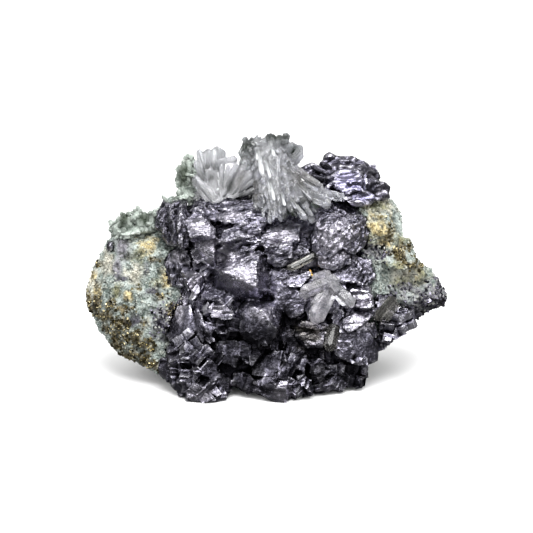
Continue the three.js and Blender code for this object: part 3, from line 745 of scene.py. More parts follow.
def layered(tree, colour, *layers):
    """Paints layers over a colour. Each layer is (mask, share, paint)."""
    for mask, share, paint in layers:
        colour = (mask_of(tree, mask) * share).mixed(colour, paint)
    return colour


def relief(tree, height, normal=None, depth=0.0001, strength=0.5):
    """A bump that adds a height to a normal."""
    inputs = {"Height": height, "Distance": depth, "Strength": strength}
    if normal is not None:
        inputs["Normal"] = normal
    return add(tree, "ShaderNodeBump", inputs)[0]


def roughened(tree, grains, normal=None, **size):
    """Fine grain on a surface, so many grains per metre."""
    return relief(tree, use(tree, ROUGHENING, Grains_Per_Metre=grains)["Height"], normal, **size)

# %% [markdown]
# ## Galena
#
# Galena is lead sulphide: heavy, lead-grey, metallic and very slightly violet. Its crystals are cubes
# and cut-off cubes, and it breaks along cube faces, so any rough place turns into tiny flights of steps.
#
# The solid gives the large faces. The steps could be modelled one by one, but there are thousands. The
# tree below pulls every point of the skin part of the way towards a grid of boxes. The grid is turned
# at random in each patch, as one crystal is turned against the next, and the pull leaves flat treads
# with steep risers between them.

# %% The cleavage tree
WAVINESS = 0.0003  # how far the skin sways before it is pulled, in metres
BOXES = {"Coarse": (1.0, 0.75, 1.3), "Fine": (1.0, 3.5, 3.0)}  # the shape of a box of each grid
PULLED = {"Vector": "Move"}


@node_tree("GeometryNodeTree", "Pull to grid", PULLED, Vector="Place, Step", Rotation="Turn", Float="Pull")
def PULL(tree, given):
    back = add(tree, "FunctionNodeInvertRotation", {0: given["Turn"]})[0]
    local = add(tree, "FunctionNodeRotateVector", {0: given["Place"], 1: back})[0]
    nearest = calc(tree, "SNAP", local + given["Step"] * 0.5, given["Step"])[0]
    move = (nearest - local) * given["Pull"]
    return add(tree, "FunctionNodeRotateVector", {0: move, 1: given["Turn"]})[0]


@geometry_tree(
    "Cleavage steps", Float="Patch Size, Coarse Step, Coarse Pull, Fine Step, Fine Pull, Least Broken"
)
def CLEAVAGE(tree, given):
    place = position(tree)
    turn = place.cells(1.0 / given["Patch Size"])["Color"] * (math.pi / 2)
    turn = add(tree, "FunctionNodeEulerToRotation", {0: turn})[0]
    broken = painted(tree, "steps").remap(0.0, 1.0, given["Least Broken"], 1.0)
    place = place + (place.noise(260.0, 2.0)[1] - HALF) * WAVINESS
    for size, box in BOXES.items():
        step, pull = given[f"{size} Step"] * box, given[f"{size} Pull"] * broken
        place = place + use(tree, PULL, Place=place, Turn=turn, Step=step, Pull=pull)["Move"]
    return moved(tree, given["Geometry"], Position=place)


# %% [markdown]
# Elsewhere the metal looks crumpled, like foil. There, growth and etching left long low ridges that run
# side by side. A noise that is stretched in one direction gives them, and folding it about its middle
# turns its soft hills into sharp crests.

# %% The crest tree
CREST_FOOT = 0.12  # crests rise this close to the middle of the noise, and elsewhere the skin sinks


@geometry_tree("Long crests", String="Mask", Vector="Along", Float="Spacing, Height, Sway")
def CRESTS(tree, given):
    place = position(tree)
    swayed = place + (place.noise(120.0, 1.0)[1] - HALF) * given["Sway"]
    waves = squeezed(swayed, given["Along"]).noise(0.5 / given["Spacing"], 2.0)[0]
    crests = CREST_FOOT - abs(waves - 0.5) * 2.0
    height = crests * given["Height"] * painted(tree, given["Mask"])
    return moved(tree, given["Geometry"], Offset=facing(tree) * height)


# %% [markdown]
# The metal is a plain metallic surface. What makes it look like galena is the glitter: most flats
# mirror something dark and a few mirror the lamps. Ridges are painted lighter, as wear and as a painted
# highlight, and recesses get painted shade. Some faces are painted brighter as a painted highlight,
# some are darker in patches, and painted shade darkens the lower middle and a few other places.

# %% Galena materials
# The direction (across, up) in which the crests run in each region of the metal.
CREST_COURSES = {"dome": (0.5, 0.85), "bands": (0.96, 0.25), "folds": (0.15, 1.0)}
# Lighter metal on ridges for wear and painted highlight, the brightest for painted highlight on faces, and
# painted shade in recesses.
HIGHLIGHT_METAL, WORN_AND_HIGHLIT_METAL, RECESS_SHADE_METAL = tone(214, 210, 222), tone(204, 202, 212), tone(34, 33, 38)
# DARK_PATCH_AND_SHADE darkens the dusky patches and is painted shade where the metal lies in shadow.
VIOLET_FACE, BROWNISH_FACE, DARK_PATCH_AND_SHADE = tone(138, 135, 164), tone(150, 145, 134), tone(30, 29, 34)
SMOOTHEST, ROUGHEST = 0.2, 0.36  # of the metal's bright and dark patches


def galena_material(name, light, dark, patch, waves, wander, cells, lean, depth):
    """Metal with lines along the cleavage, flats that flash, and painted highlight and painted shade in its
    colour.
    """
    material = new_material(name)
    tree = material.node_tree
    ground = mottled(tree, light, dark, 160.0, 1300.0)
    # Ridges: painted highlight, also standing for wear. Recesses: painted shade.
    colour = mask_of(tree, "ridge").remap(0.55, 0.95).mixed(ground["Color"], WORN_AND_HIGHLIT_METAL)
    colour = mask_of(tree, "ridge").remap(0.45, 0.15).mixed(colour, RECESS_SHADE_METAL)
    # The first layer is a painted highlight and the last one painted shade; the violet and brownish layers
    # are tones of the metal, and the dusky one darkens patches.
    colour = layered(
        tree,
        colour,
        ("painted_highlight", 0.75, HIGHLIGHT_METAL),
        ("violet", 0.8, VIOLET_FACE),
        ("stack", 0.7, BROWNISH_FACE),
        ("dusky", 0.5, DARK_PATCH_AND_SHADE),
        ("painted_shade", 0.9, DARK_PATCH_AND_SHADE),
    )
    flash = use(tree, GLITTER, Cells_Per_Metre=cells, Lean=lean)["Normal"]
    scored = use(tree, STRIATIONS, Patch_Size=patch, Wave_Scale=waves, Wander=wander)["Height"]
    normal = relief(tree, scored * mask_of(tree, "steps"), flash, depth, 0.8)
    wrinkled = 0.0
    for mask, along in CREST_COURSES.items():
        lines = use(tree, WRINKLES, Along=face_direction(*along), Lines_Per_Metre=2000.0)["Height"]
        wrinkled = lines * mask_of(tree, mask) + wrinkled
    normal = relief(tree, wrinkled, normal, 0.0003, 0.9)
    return dress(
        material,
        Base_Color=colour,
        Metallic=1.0,
        Roughness=ground["Share"].remap(0.0, 1.0, ROUGHEST, SMOOTHEST),
        Normal=roughened(tree, 1100.0, normal, depth=depth, strength=0.8),
    )


GALENA = galena_material(
    "lead grey galena",
    tone(144, 141, 156),
    tone(84, 83, 94),
    patch=0.0085,
    waves=45.0,
    wander=5.0,
    cells=1300.0,
    lean=0.22,
    depth=0.0004,
)
CROWN_GALENA = galena_material(
    "bright galena",
    tone(142, 139, 156),
    tone(66, 65, 76),
    patch=0.012,
    waves=21.0,
    wander=9.0,
    cells=300.0,
    lean=0.15,
    depth=0.00025,
)
print("materials:", GALENA.name, CROWN_GALENA.name)

# %% [markdown]
# The large mass is many crystals grown together, and no two parts of it broke or weathered alike. So
# each part gets a patch of its own: flights of steps below, crumpled metal on the dome-shaped crystal
# and along the top, a stack of thin plates right of the middle. The order matters. Steps come first,
# crests grow over them, and the ridges are looked for last.

# %% The large mass of galena
# For each mask, the seed of its edges and its spots.
GALENA_SPOTS = {
    "steps": (31, [
        (-22, 13, 8, 8), (-18, 3, 10, 5), (-28, 12, 6, 8), (0, 12, 10, 5), (8, 5, 12, 6), (22, 7, 10, 6),
        (-14, 28, 6, 4), (-12, 21, 5, 4), (-22, 38, 4, 8),
    ]),
    "dome": (32, [(22, 51, 10, 9), (21, 42, 8, 4)]),
    "bands": (33, [(-6, 50, 10, 7), (4, 47, 9, 7), (-9, 60, 10, 4), (7, 41, 8, 5), (-18, 52, 6, 4)]),
    "folds": (34, [(-29, 54, 6, 8), (-25, 45, 4, 5), (-21, 59, 5, 3), (-28, 36, 4, 8), (20, 25, 4, 5)]),
    # Painted highlight: brighter metal on faces that flash.
    "painted_highlight": (35, [
        (28.5, 31, 4, 3.5), (-7, 38.5, 6, 4.5), (-20, 52, 4.5, 3.5), (16.5, 42, 3.5, 1.5),
        (-11, 55.5, 4.5, 1.5), (-1, 26.5, 4, 2.2), (13, 20, 5, 4), (28, 24, 5, 2.5), (-20, 2.5, 4, 3),
        (4, 3, 4, 3), (-15, 27, 3, 2.5), (-11, 42.5, 3, 2), (16, 8, 2.5, 3), (-22, 35, 2, 4),
        (20, 50, 6, 6), (-27, 43, 3, 2), (-17, 46, 4.5, 4.5), (4.5, 50, 5, 3), (-27, 28, 3, 4),
    ]),
    "stack": (36, [(13, 20.5, 5, 4)]),
    "bars": (37, [(29, 33, 4, 5)]),
    # Painted shade, mostly over the lower middle under the overhang.
    "painted_shade": (38, [
        (-8, 19, 9, 8), (-12, 11, 8, 6), (2, 11, 9, 5), (6, 24, 3, 6), (14, 9, 8, 4), (-5, 5, 9, 2.5),
        (24, 8, 5, 4), (-28, 22, 3, 3), (-2, 15, 11, 8), (6, 17, 6, 5), (-4, 8, 8, 4), (14, 68, 4, 3),
        (-7.5, 61.5, 5, 1.8), (-18, 19, 4, 4), (-15, 10, 5, 4), (12, 14, 7, 3),
    ]),
    "dusky": (44, [
        (-30, 55, 4, 8), (-24, 60, 6, 3), (-8, 61, 8, 3), (-25, 44, 3, 5), (8, 43, 6, 4), (-27, 15, 6, 6),
        (-18, 6, 8, 4),
    ]),
}
# For each region, the course of its crests and their spacing, height and sway in metres.
GALENA_CRESTS = {
    "dome": (CREST_COURSES["dome"], 0.0012, 0.0026, 0.002),
    "bands": (CREST_COURSES["bands"], 0.0015, 0.0028, 0.002),
    "folds": (CREST_COURSES["folds"], 0.0015, 0.0032, 0.002),
    "stack": ((0.98, -0.16), 0.0026, 0.0044, 0.0006),
    "bars": ((0.98, -0.16), 0.0022, 0.0064, 0.0005),
}


def crumple(piece, mask, along, spacing, height, sway):
    """Grows long crests where a mask is painted."""
    grow(piece, CRESTS, Mask=mask, Along=face_direction(*along), Spacing=spacing, Height=height, Sway=sway)


def cleave(piece, patch, coarse_step, coarse_pull, fine_step, fine_pull, least_broken):
    """Breaks a skin into coarse and fine steps."""
    coarse = {"Coarse_Step": coarse_step, "Coarse_Pull": coarse_pull}
    fine = {"Fine_Step": fine_step, "Fine_Pull": fine_pull}
    grow(piece, CLEAVAGE, Patch_Size=patch, Least_Broken=least_broken, **coarse, **fine)


cluster = even_skin(copy_of("galena_cluster", "galena_mass"), 0.00045)
for label, (seed, spots) in GALENA_SPOTS.items():
    paint_mask(cluster.data, label, spots_mask(cluster.data, spots, 0.8, seed))
cleave(cluster, 0.0085, 0.0026, 0.19, 0.0012, 0.62, 0.15)
for label, crests in GALENA_CRESTS.items():
    crumple(cluster, label, *crests)
grow(cluster, RIDGES, Reach=8, Height=0.0004)
finish_piece(cluster, GALENA, "galena_cluster", smooth=25)

# %% [markdown]
# The crown at the upper right is smoother and brighter: large soft folds with small ones over them. At
# its left foot a few dark crystals stick out towards the quartz. Under the right-hand tip lie thin
# plates, which are all steps, and one crystal sits by itself on the left lobe.

# %% The other pieces of galena
# For each mask, its strength, the seed of its edges and its spots.
CROWN_MASKS = {
    # Painted highlight, weaker than on the large mass.
    "painted_highlight": (0.4, 39, [
        (20, 62.4, 2.6, 1.4), (27, 59.8, 4, 1.4), (25, 70.4, 3, 1), (36, 64, 3, 2), (31, 68, 1, 3),
    ]),
    "dusky": (1.0, 45, [(22, 73, 7, 3), (29, 70, 4, 3), (33, 66, 2, 4)]),
    "violet": (1.0, 40, [(24.5, 65, 5, 3.4), (30, 61, 4, 2)]),
}
# Each crystal is (root across and up, tip across and up, width, lift of the tip), in millimetres.
CROWN_STUBS = [
    (18.6, 68.0, 13.2, 70.6, 3.0, 0.0), (18.4, 66.4, 12.4, 67.6, 2.8, 0.4),
    (19.6, 69.6, 15.8, 71.8, 2.6, -0.3),
]

crown = even_skin(copy_of("galena_crown", "galena_top"), 0.0004)
paint_mask(crown.data, "all", 1.0)
paint_mask(crown.data, "steps", 0.3)
for label, (share, seed, spots) in CROWN_MASKS.items():
    paint_mask(crown.data, label, share * spots_mask(crown.data, spots, 0.8, seed))
for spacing, height, sway in ((0.0042, 0.005, 0.008), (0.0014, 0.0016, 0.004)):
    crumple(crown, "all", (0.9, 0.2), spacing, height, sway)
grow(crown, RIDGES, Reach=12, Height=0.0005)
stubs = blades("crown_stubs", crown, CROWN_STUBS)
paint_mask(stubs.data, "dusky", 1.4)
finish_piece(joined("galena_top", crown, stubs), CROWN_GALENA, "galena_crown", smooth=32)

plates = even_skin(copy_of("galena_plates", "galena_ledge"), 0.0003)
paint_mask(plates.data, "steps", 1.0)
cleave(plates, 0.009, 0.002, 0.1, 0.0009, 0.6, 0.1)
bead = even_skin(copy_of("galena_bead", "galena_grain"), 0.0003)
for piece, node in ((plates, "galena_plates"), (bead, "galena_bead")):
    grow(piece, RIDGES, Reach=10, Height=0.0003)
    finish_piece(piece, GALENA, node, smooth=38)

# %% [markdown]
# ## Quartz
#
# Quartz is clear, but here it is full of cracks and fluid, so most of it looks like frosted ice with
# bright edges. Plain glass would be far too clear. So the glass is partly opaque: streaks of milk run
# along the crystals, green dust lies on top, and the roots, which are buried in the bundle, are dark
# with painted shade, as are recesses and hollows.

# %% Quartz materials
# DEEP_SHADE is painted shade for recesses and buried roots.
MILK, HAZE, DEEP_SHADE = tone(252, 253, 255), tone(226, 227, 237), tone(98, 100, 96)
SMOKE, HOLLOW_SHADE, GLASS_TINT = tone(130, 122, 112), tone(58, 68, 54), tone(226, 228, 235)
SHADE, PALE_SMOKE, DARK_SMOKE = tone(142, 141, 150), tone(166, 164, 158), tone(114, 112, 108)
DUST = (tone(198, 208, 200), tone(74, 88, 76))
QUARTZ_IOR = 1.544
SHEAF_ROOT, FAN_ROOT = on_face(-1, 92, -14), on_face(-14, 50, -8)


def quartz_material(name, rough, dusty, milk, haze, clear=0.0, density=0.0, root=None):
    """Glass with streaks of milk in it, green dust where the mask is strong, and painted shade in recesses,
    on buried roots and in hollows.
    """
    material = new_material(name)
    tree = material.node_tree
    normal = None
    if root:
        streaks = use(tree, RAYS, Root=root)["Height"]
        normal = relief(tree, streaks, depth=0.0003, strength=0.6)
        colour = streaks.remap(0.42, 0.6).mixed(haze, milk)
    else:
        colour = mottled(tree, milk, haze, 300.0, 1500.0)["Color"]
    dust = mottled(tree, *DUST, 400.0, 2400.0)["Color"]
    colour = (mask_of(tree, "dust") * dusty).mixed(colour, dust)
    # Painted shade in recesses and on buried roots.
    colour = (mask_of(tree, "ridge").remap(0.45, 0.1) * 0.6).mixed(colour, DEEP_SHADE)
    colour = layered(tree, colour, ("buried", 0.8, DEEP_SHADE), ("core", 0.8, MILK))
    # Painted shade in the hollows; the smoky layer is a tint of the quartz itself.
    colour = layered(tree, colour, ("smoky", 0.5, SMOKE), ("hollow", 1.0, HOLLOW_SHADE))
    if clear:
        absorb = add(tree, "ShaderNodeVolumeAbsorption", {"Color": GLASS_TINT, "Density": density})[0]
        plug(tree, tree.nodes["Material Output"].inputs["Volume"], absorb)
    return dress(
        material,
        Base_Color=colour,
        Transmission_Weight=clear,
        IOR=QUARTZ_IOR,
        Roughness=rough,
        Normal=roughened(tree, 700.0, normal, depth=0.0002, strength=0.4),
    )


SHEAF_QUARTZ = quartz_material("sheaf quartz", 0.06, 0.4, MILK, HAZE, 0.82, 12.0, SHEAF_ROOT)
FAN_QUARTZ = quartz_material("fan quartz", 0.05, 0.5, MILK, tone(238, 238, 244), 0.76, 10.0, FAN_ROOT)
FRONT_QUARTZ = quartz_material("front quartz", 0.12, 0.2, tone(238, 235, 240), SHADE, 0.76, 16.0)
MILKY_QUARTZ = quartz_material("milky quartz", 0.12, 0.0, MILK, tone(236, 240, 244), 0.35, 8.0)
SMOKY_QUARTZ = quartz_material("smoky quartz", 0.04, 0.2, PALE_SMOKE, DARK_SMOKE, 0.92, 30.0)
COATED_QUARTZ = quartz_material("coated crystals", 0.6, 1.0, tone(210, 216, 210), tone(122, 134, 124))
print("bundles grow from", [round(c, 3) for c in SHEAF_ROOT], "and", [round(c, 3) for c in FAN_ROOT])

# %% [markdown]
# A bundle is a few hundred columns that all started from one root. Cutting the skin into cells by the
# direction from that root gives the columns: the skin rises in the middle of each cell and sinks between
# cells, and each column is a little longer or shorter than the next.

# %% The column tree
CELL_EDGE = 0.42  # this far from the middle of its cell, the skin neither rises nor sinks
LONG_COLUMN = 0.65  # about two columns out of three are shorter than the skin, and one is longer


@geometry_tree("Columns from a root", Vector="Root", Float="Columns, Roundness, Unevenness, Bend")
def COLUMNS(tree, given):
    place = position(tree)
    heading = (place - given["Root"]).unit() + (place.noise(110.0, 1.0)[1] - HALF) * given["Bend"]
    cells = heading.cells(given["Columns"])
    chance = add(tree, "ShaderNodeSeparateXYZ", {0: cells["Color"]})[0]
    rise = (CELL_EDGE - cells["Distance"]) * given["Roundness"]
    longer = (chance - LONG_COLUMN) * given["Unevenness"]
    move = (facing(tree) * rise + heading * longer) * (1.0 - painted(tree, "still"))
    return moved(tree, given["Geometry"], Offset=move)


# %% [markdown]
# Every quartz piece goes through the same steps. A bundle gets an even skin, columns in it, and small
# crystals scattered over it. Single crystals skip that and keep their flat faces. On both, larger
# crystals can be laid one by one, and masks say where the quartz is dusty, milky or smoky.

# %% How a quartz piece grows
BUNDLE_SKIN, CRYSTAL_EDGE = 0.00034, 0.00012  # in metres: the mesh of a bundle, the bevel of a crystal


def growth(where, per_square_metre, smallest, largest, lean, away=0.0, centre=(0.0, 0.0, 0.0)):
    """Small prisms: where they stand, how many, their sizes in millimetres and how they lean."""
    values = {
        "Shape": PRISM,
        "Mask": "growth",
        "Per_Square_Metre": per_square_metre,
        "Smallest": [MM * size for size in smallest],
        "Largest": [MM * size for size in largest],
        "Centre": centre,
        "Away_From_Centre": away,
        "Lean": lean,
    }
    return where, values


def quartz_piece(
    node,
    name,
    material,
    smooth=None,
    columns=None,
    still=(),
    growths=(),
    laid=(),
    dust=None,
    tones=None,
):
    """A quartz piece: its solid with a worked skin if it is to be smooth, and crystals grown over it."""
    body = copy_of(node, name)
    body = even_skin(body, BUNDLE_SKIN) if smooth else crisp_skin(body, CRYSTAL_EDGE)
    paint_mask(body.data, "still", spots_mask(body.data, still, 0.2, 41))
    if columns:
        grow(body, COLUMNS, **columns)
    if smooth:
        grow(body, RIDGES, Reach=8, Height=0.0004)
    else:
        paint_mask(body.data, "ridge", 0.6)
    # Painted shade on the still places of the skin, as on buried roots.
    paint_mask(body.data, "buried", spots_mask(body.data, still, 0.4, 42))
    parts = [body]
    for number, (where, values) in enumerate(growths):
        paint_mask(body.data, "growth", np.clip(where(*face_places(body.data)), 0, 1))
        crystals = scatter(body, f"{name}_{number}", Material=material, Seed=11 + number, **values)
        paint_mask(crystals.data, "ridge", 0.6)
        parts.append(crystals)
    if laid:
        parts.append(blades(f"{name}_laid", body, laid))
    whole = joined(name, *parts)
    cover = dust(*face_places(whole.data)) if dust else 0.0
    paint_mask(whole.data, "dust", np.clip(cover, 0, 1))
    for label, spots in (tones or {}).items():
        paint_mask(whole.data, label, spots_mask(whole.data, spots, 0.5, 43, back=-40))
    finish_piece(whole, material, node, smooth)


# %% [markdown]
# The crystals that stand out are laid one by one, from root to tip. They lie on the solid's own thick
# crystals and make the bundle read as many thin ones.

# %% Crystals of the bundles
# Each crystal is (root across and up, tip across and up, width, lift of the tip), in millimetres.
SHEAF_FINGERS = [
    (6.2, 71.8, 8.3, 68.3, 1.3, 1.0), (6.2, 62.0, 7.7, 56.0, 2.3, 1.6), (7.4, 64.0, 9.3, 59.5, 1.9, 1.4),
    (8.2, 64.0, 12.5, 57.7, 1.9, 1.4), (9.2, 64.5, 13.6, 60.0, 1.7, 1.4), (8.0, 68.5, 16.2, 64.3, 1.3, 1.0),
    (8.0, 67.2, 15.6, 63.0, 1.2, 1.0), (11.5, 62.8, 18.6, 60.8, 1.8, 1.2), (12.5, 61.0, 18.4, 58.4, 1.9, 1.2),
    (7.4, 60.0, 11.8, 54.0, 2.5, 0.8), (9.0, 61.0, 13.8, 55.2, 2.1, 0.8), (12.0, 59.6, 14.8, 56.4, 1.6, 0.9),
    (14.6, 57.4, 13.9, 53.4, 0.9, 0.5), (1.0, 58.0, 0.9, 53.0, 2.2, 0.3), (3.2, 58.0, 4.3, 53.6, 2.0, 0.3),
    (-0.6, 62.0, -1.2, 56.6, 2.0, 0.3), (7.6, 71.6, 10.9, 75.4, 1.3, 1.0), (8.0, 70.6, 11.0, 74.0, 1.3, 1.0),
    (7.0, 72.6, 10.2, 76.8, 1.4, 0.4), (5.4, 73.6, 8.0, 78.0, 2.2, 0.4), (-3.6, 73.0, -6.2, 77.6, 3.0, 0.4),
    (-1.4, 75.0, -0.8, 79.4, 2.8, 0.4), (2.6, 75.6, 3.6, 79.4, 2.4, 0.4), (4.0, 70.0, 5.6, 74.6, 2.6, 0.4),
    (-4.6, 70.0, -6.4, 73.6, 2.4, 0.4),
]
SHEAF_WHITE = [
    (-2.6, 76.6, -1.2, 67.6, 2.4, 0.6), (-3.2, 76.6, -2.8, 72.4, 1.2, 0.7), (1.0, 78.0, 2.2, 73.0, 2.2, 0.4),
    (1.0, 66.0, 2.2, 60.0, 1.4, 0.9), (-0.6, 72.6, 1.0, 66.8, 1.6, 0.5), (4.4, 62.4, 5.4, 58.4, 1.0, 0.7),
    (-5.3, 56.6, -4.8, 59.2, 1.8, 1.4),
]
FAN_BLADES = [
    (-16.2, 60.0, -21.6, 67.6, 2.7, 0.4), (-17.6, 60.0, -22.6, 65.0, 2.1, 0.5),
    (-15.2, 61.0, -20.0, 70.6, 2.4, 0.2), (-14.8, 62.0, -18.2, 71.6, 2.1, 0.2),
    (-19.4, 66.0, -21.8, 72.6, 2.2, 0.0), (-15.2, 64.0, -16.5, 71.9, 1.8, 0.0),
    (-14.0, 64.0, -13.7, 71.7, 1.6, 0.0), (-13.0, 64.0, -11.6, 71.3, 1.4, 0.0),
    (-18.4, 69.0, -20.7, 76.0, 1.8, 0.0), (-18.0, 69.6, -17.4, 76.0, 2.0, 0.2),
    (-16.4, 69.6, -15.8, 76.4, 2.2, 0.3), (-15.0, 69.6, -14.3, 76.6, 2.2, 0.4),
    (-13.8, 69.6, -13.2, 76.0, 1.6, 0.2), (-13.0, 61.6, -8.8, 71.5, 1.8, 0.3),
    (-12.2, 61.0, -7.4, 70.3, 1.9, 0.4), (-11.4, 61.0, -5.0, 71.4, 2.5, 0.4),
    (-10.2, 61.6, -4.4, 68.6, 1.9, 0.5), (-9.0, 62.4, -3.6, 66.6, 2.2, 0.5),
    (-8.4, 61.6, -3.0, 64.2, 2.2, 0.5),
]
FAN_WHITE = [(-20.3, 60.8, -19.2, 63.5, 0.8, 0.6), (-15.4, 62.8, -14.6, 64.1, 0.7, 0.5)]
FRONT_BLADES = [(16.4, 33.0, 13.0, 28.7, 3.4, 1.2), (16.0, 35.5, 9.8, 33.0, 3.2, 1.0)]
FRONT_WHITE = [(23.6, 35.6, 24.6, 37.0, 1.4, 0.6)]
COATED_BLADES = [
    (-30.0, 59.6, -31.8, 61.9, 1.2, 0.3), (-24.0, 66.0, -26.9, 70.6, 2.4, 0.3),
    (-23.6, 64.0, -27.4, 66.0, 2.0, 0.3), (-23.0, 62.0, -27.0, 64.4, 1.8, 0.3),
    (-23.4, 67.0, -23.8, 72.6, 2.0, 0.3), (-24.8, 66.6, -25.4, 71.6, 2.8, 0.0),
]
print("laid on the sheaf:", len(SHEAF_FINGERS + SHEAF_WHITE), "and on the fan:", len(FAN_BLADES + FAN_WHITE))

# %% [markdown]
# The sheaf hangs from a root high behind it. Stubby crystals crowd its top, and thin ones stand between
# the fingers of its front. In the rules for where they grow, and for the dust, `a` is millimetres
# across and `u` is millimetres up.

# %% The sheaf
quartz_piece(
    "quartz_sheaf",
    "quartz_sheaf_crystals",
    SHEAF_QUARTZ,
    columns={"Root": SHEAF_ROOT, "Columns": 22.0, "Roundness": 0.001, "Unevenness": 0.0012, "Bend": 0.14},
    still=[(12.5, 58.5, 6, 4.5), (7.5, 55.5, 2, 2), (11, 65, 3, 3)],
    growths=[
        growth(
            lambda a, u, out: (u > 74) * 1.0,
            4.0e4,
            (1.8, 1.6, 1.0),
            (3.4, 2.8, 2.2),
            lean=0.5,
            away=0.6,
            centre=on_face(1.0, 66.0, -9.0),
        ),
        growth(
            lambda a, u, out: (u < 76) * (u > 57) * (a < 8) * 1.0,
            3.0e5,
            (0.8, 0.6, 1.2),
            (1.8, 1.0, 4.0),
            lean=0.2,
            away=0.93,
            centre=SHEAF_ROOT,
        ),
    ],
    laid=SHEAF_FINGERS,
    smooth=16,
    tones={
        # hollow: painted shade in pits among the crystals
        "hollow": [(2.6, 79.8, 3.4, 1.6), (-6, 77, 2, 1.6), (7.4, 54.8, 2.6, 2.4), (8.6, 75.4, 1.6, 1.6)],
        "core": [(-0.6, 73.5, 3.4, 6), (1.8, 64, 2.2, 6)],
        "smoky": [(10.5, 68, 3.4, 3), (14, 65, 3, 1.4), (-4, 63, 2, 4)],
    },
    dust=lambda a, u, out: np.maximum((u - 74) / 6, (-2.6 - a) / 4),
)

# %% [markdown]
# The fan left of it spreads from a root low behind it, with fewer and broader crystals. The group on
# the front and the single crystals have clean faces, so they keep the solid's own. The two crusts are
# stubby quartz under a coat of chlorite, so dust lies all over them and they aren't clear at all.

# %% The other pieces of quartz
quartz_piece(
    "quartz_fan",
    "quartz_fan_crystals",
    FAN_QUARTZ,
    columns={"Root": FAN_ROOT, "Columns": 7.0, "Roundness": 0.0006, "Unevenness": 0.0004, "Bend": 0.15},
    still=[(-11.5, 65, 1.6, 2.5), (-17, 67, 1.5, 2)],
    laid=FAN_BLADES,
    smooth=30,
    dust=lambda a, u, out: (u - 73) / 6,
    tones={"core": [(-19, 62, 3.6, 2.8), (-14, 66, 2.4, 3)], "smoky": [(-8, 66, 2, 3)]},
)
quartz_piece(
    "quartz_front",
    "quartz_front_crystals",
    FRONT_QUARTZ,
    laid=FRONT_BLADES,
    dust=lambda a, u, out: (a - 17) / 4,
)
quartz_piece("quartz_lying", "quartz_lying_crystal", SMOKY_QUARTZ)
quartz_piece("quartz_point", "quartz_point_crystal", SMOKY_QUARTZ)
quartz_piece("quartz_spar", "quartz_spar_crystals", SMOKY_QUARTZ)
# The hollows of each crust get painted shade.
for side, laid, hollow in (
    ("top", COATED_BLADES, [(-25.2, 68, 2.2, 4.4), (-28.4, 62.4, 2, 2)]),
    ("left", (), [(-43, 54.6, 2, 3), (-37, 54.8, 1.8, 2.6)]),
):
    quartz_piece(
        f"coated_quartz_{side}",
        f"coated_crystals_{side}",
        COATED_QUARTZ,
        growths=[growth(lambda a, u, out: 1.0, 3.0e5, (0.9, 0.9, 0.6), (2.2, 2.0, 1.9), lean=0.6)],
        laid=laid,
        smooth=30,
        dust=lambda a, u, out: 0.5,
        tones={"hollow": hollow},
    )

# %% [markdown]
# Some crystals of the sheaf, the fan and the front group are milk-white from root to tip. Above the
# front crystals stands one amber sliver, less than three millimetres long. It is a forked chip of
# iron-stained quartz.

# %% Milky crystals and the amber sliver
whites = [
    blades(name, pieces[ground], crystals)
    for name, ground, crystals in (
        ("sheaf_whites", "quartz_sheaf_crystals", SHEAF_WHITE),
        ("fan_whites", "quartz_fan_crystals", FAN_WHITE),
        ("front_whites", "quartz_front_crystals", FRONT_WHITE),
    )
]
finish_piece(joined("milky_crystals", *whites), MILKY_QUARTZ)

AMBER = new_material("amber chip")
stain = mottled(AMBER.node_tree, tone(255, 216, 126), tone(232, 168, 78), 900.0, 4000.0)
dress(AMBER, Base_Color=stain["Color"], Roughness=0.35)
chips = [(13.7, 37.0, 12.8, 39.4, 0.6, 1.5), (13.2, 38.0, 14.4, 37.3, 0.5, 1.1)]
finish_piece(blades("amber_sliver", pieces["galena_mass"], chips), AMBER)

# %% [markdown]
# ## The chlorite rock
#
# The rock that carries it all is a crumbly mix. Its skin is drawn in and out by three noises at once:
# lumps of about four millimetres, grains of one or two, and pits where grains fell out. How deep a
# point lies is kept as a mask, so that the material can paint shade into the pits.

# %% The rock tree
LUMPS, GRAIN_CELLS, PITS = 230.0, 620.0, 420.0  # of the three noises, so many per metre
BEHIND_HOLLOW = -18.5  # millimetres out: skin further back belongs to the back of the rock


@geometry_tree("Rough rock", Float="Lump Height, Grain Height, Pit Depth")
def ROUGH_ROCK(tree, given):
    place = position(tree)
    lumps = place.noise(LUMPS, 3.0)[0] - 0.55
    grains = 0.45 - place.cells(GRAIN_CELLS)["Distance"]
    pits = place.noise(PITS, 1.0)[0].remap(0.58, 0.75, 0.0, -1.0)
    height = grains * given["Grain Height"] + lumps * given["Lump Height"]
    height = pits * given["Pit Depth"] + height
    rough = moved(tree, given["Geometry"], Offset=facing(tree) * height)
    # The depth kept here lets the material paint shade into the pits.
    return stored(tree, rough, "height", height.remap(-0.0014, -0.0001))


def raise_hollow(piece, across_at, up_at, half_width, half_height, level):
    """Draws the skin out to a level where the solid has a deep hollow in its display face."""
    across, up, out = face_places(piece.data)
    reach = np.hypot((across - across_at) / half_width, (up - up_at) / half_height)
    share = np.clip(2.4 - 2.4 * reach, 0, 1) * (out > BEHIND_HOLLOW) * (out < level)
    outward = on_face(0, 0, 1) - on_face(0, 0, 0)
    for vertex, amount in zip(piece.data.vertices, share):
        if amount > 0:
            vertex.co += outward * float((level - out[vertex.index]) * amount)


rock = even_skin(copy_of("matrix_rock", "chlorite_rock"), 0.0005)
raise_hollow(rock, 32.2, 43.4, 6.0, 5.6, 0.6)
grow(rock, ROUGH_ROCK, Lump_Height=0.0024, Grain_Height=0.0007, Pit_Depth=0.0012)
print("rock skin:", len(rock.data.vertices), "vertices")
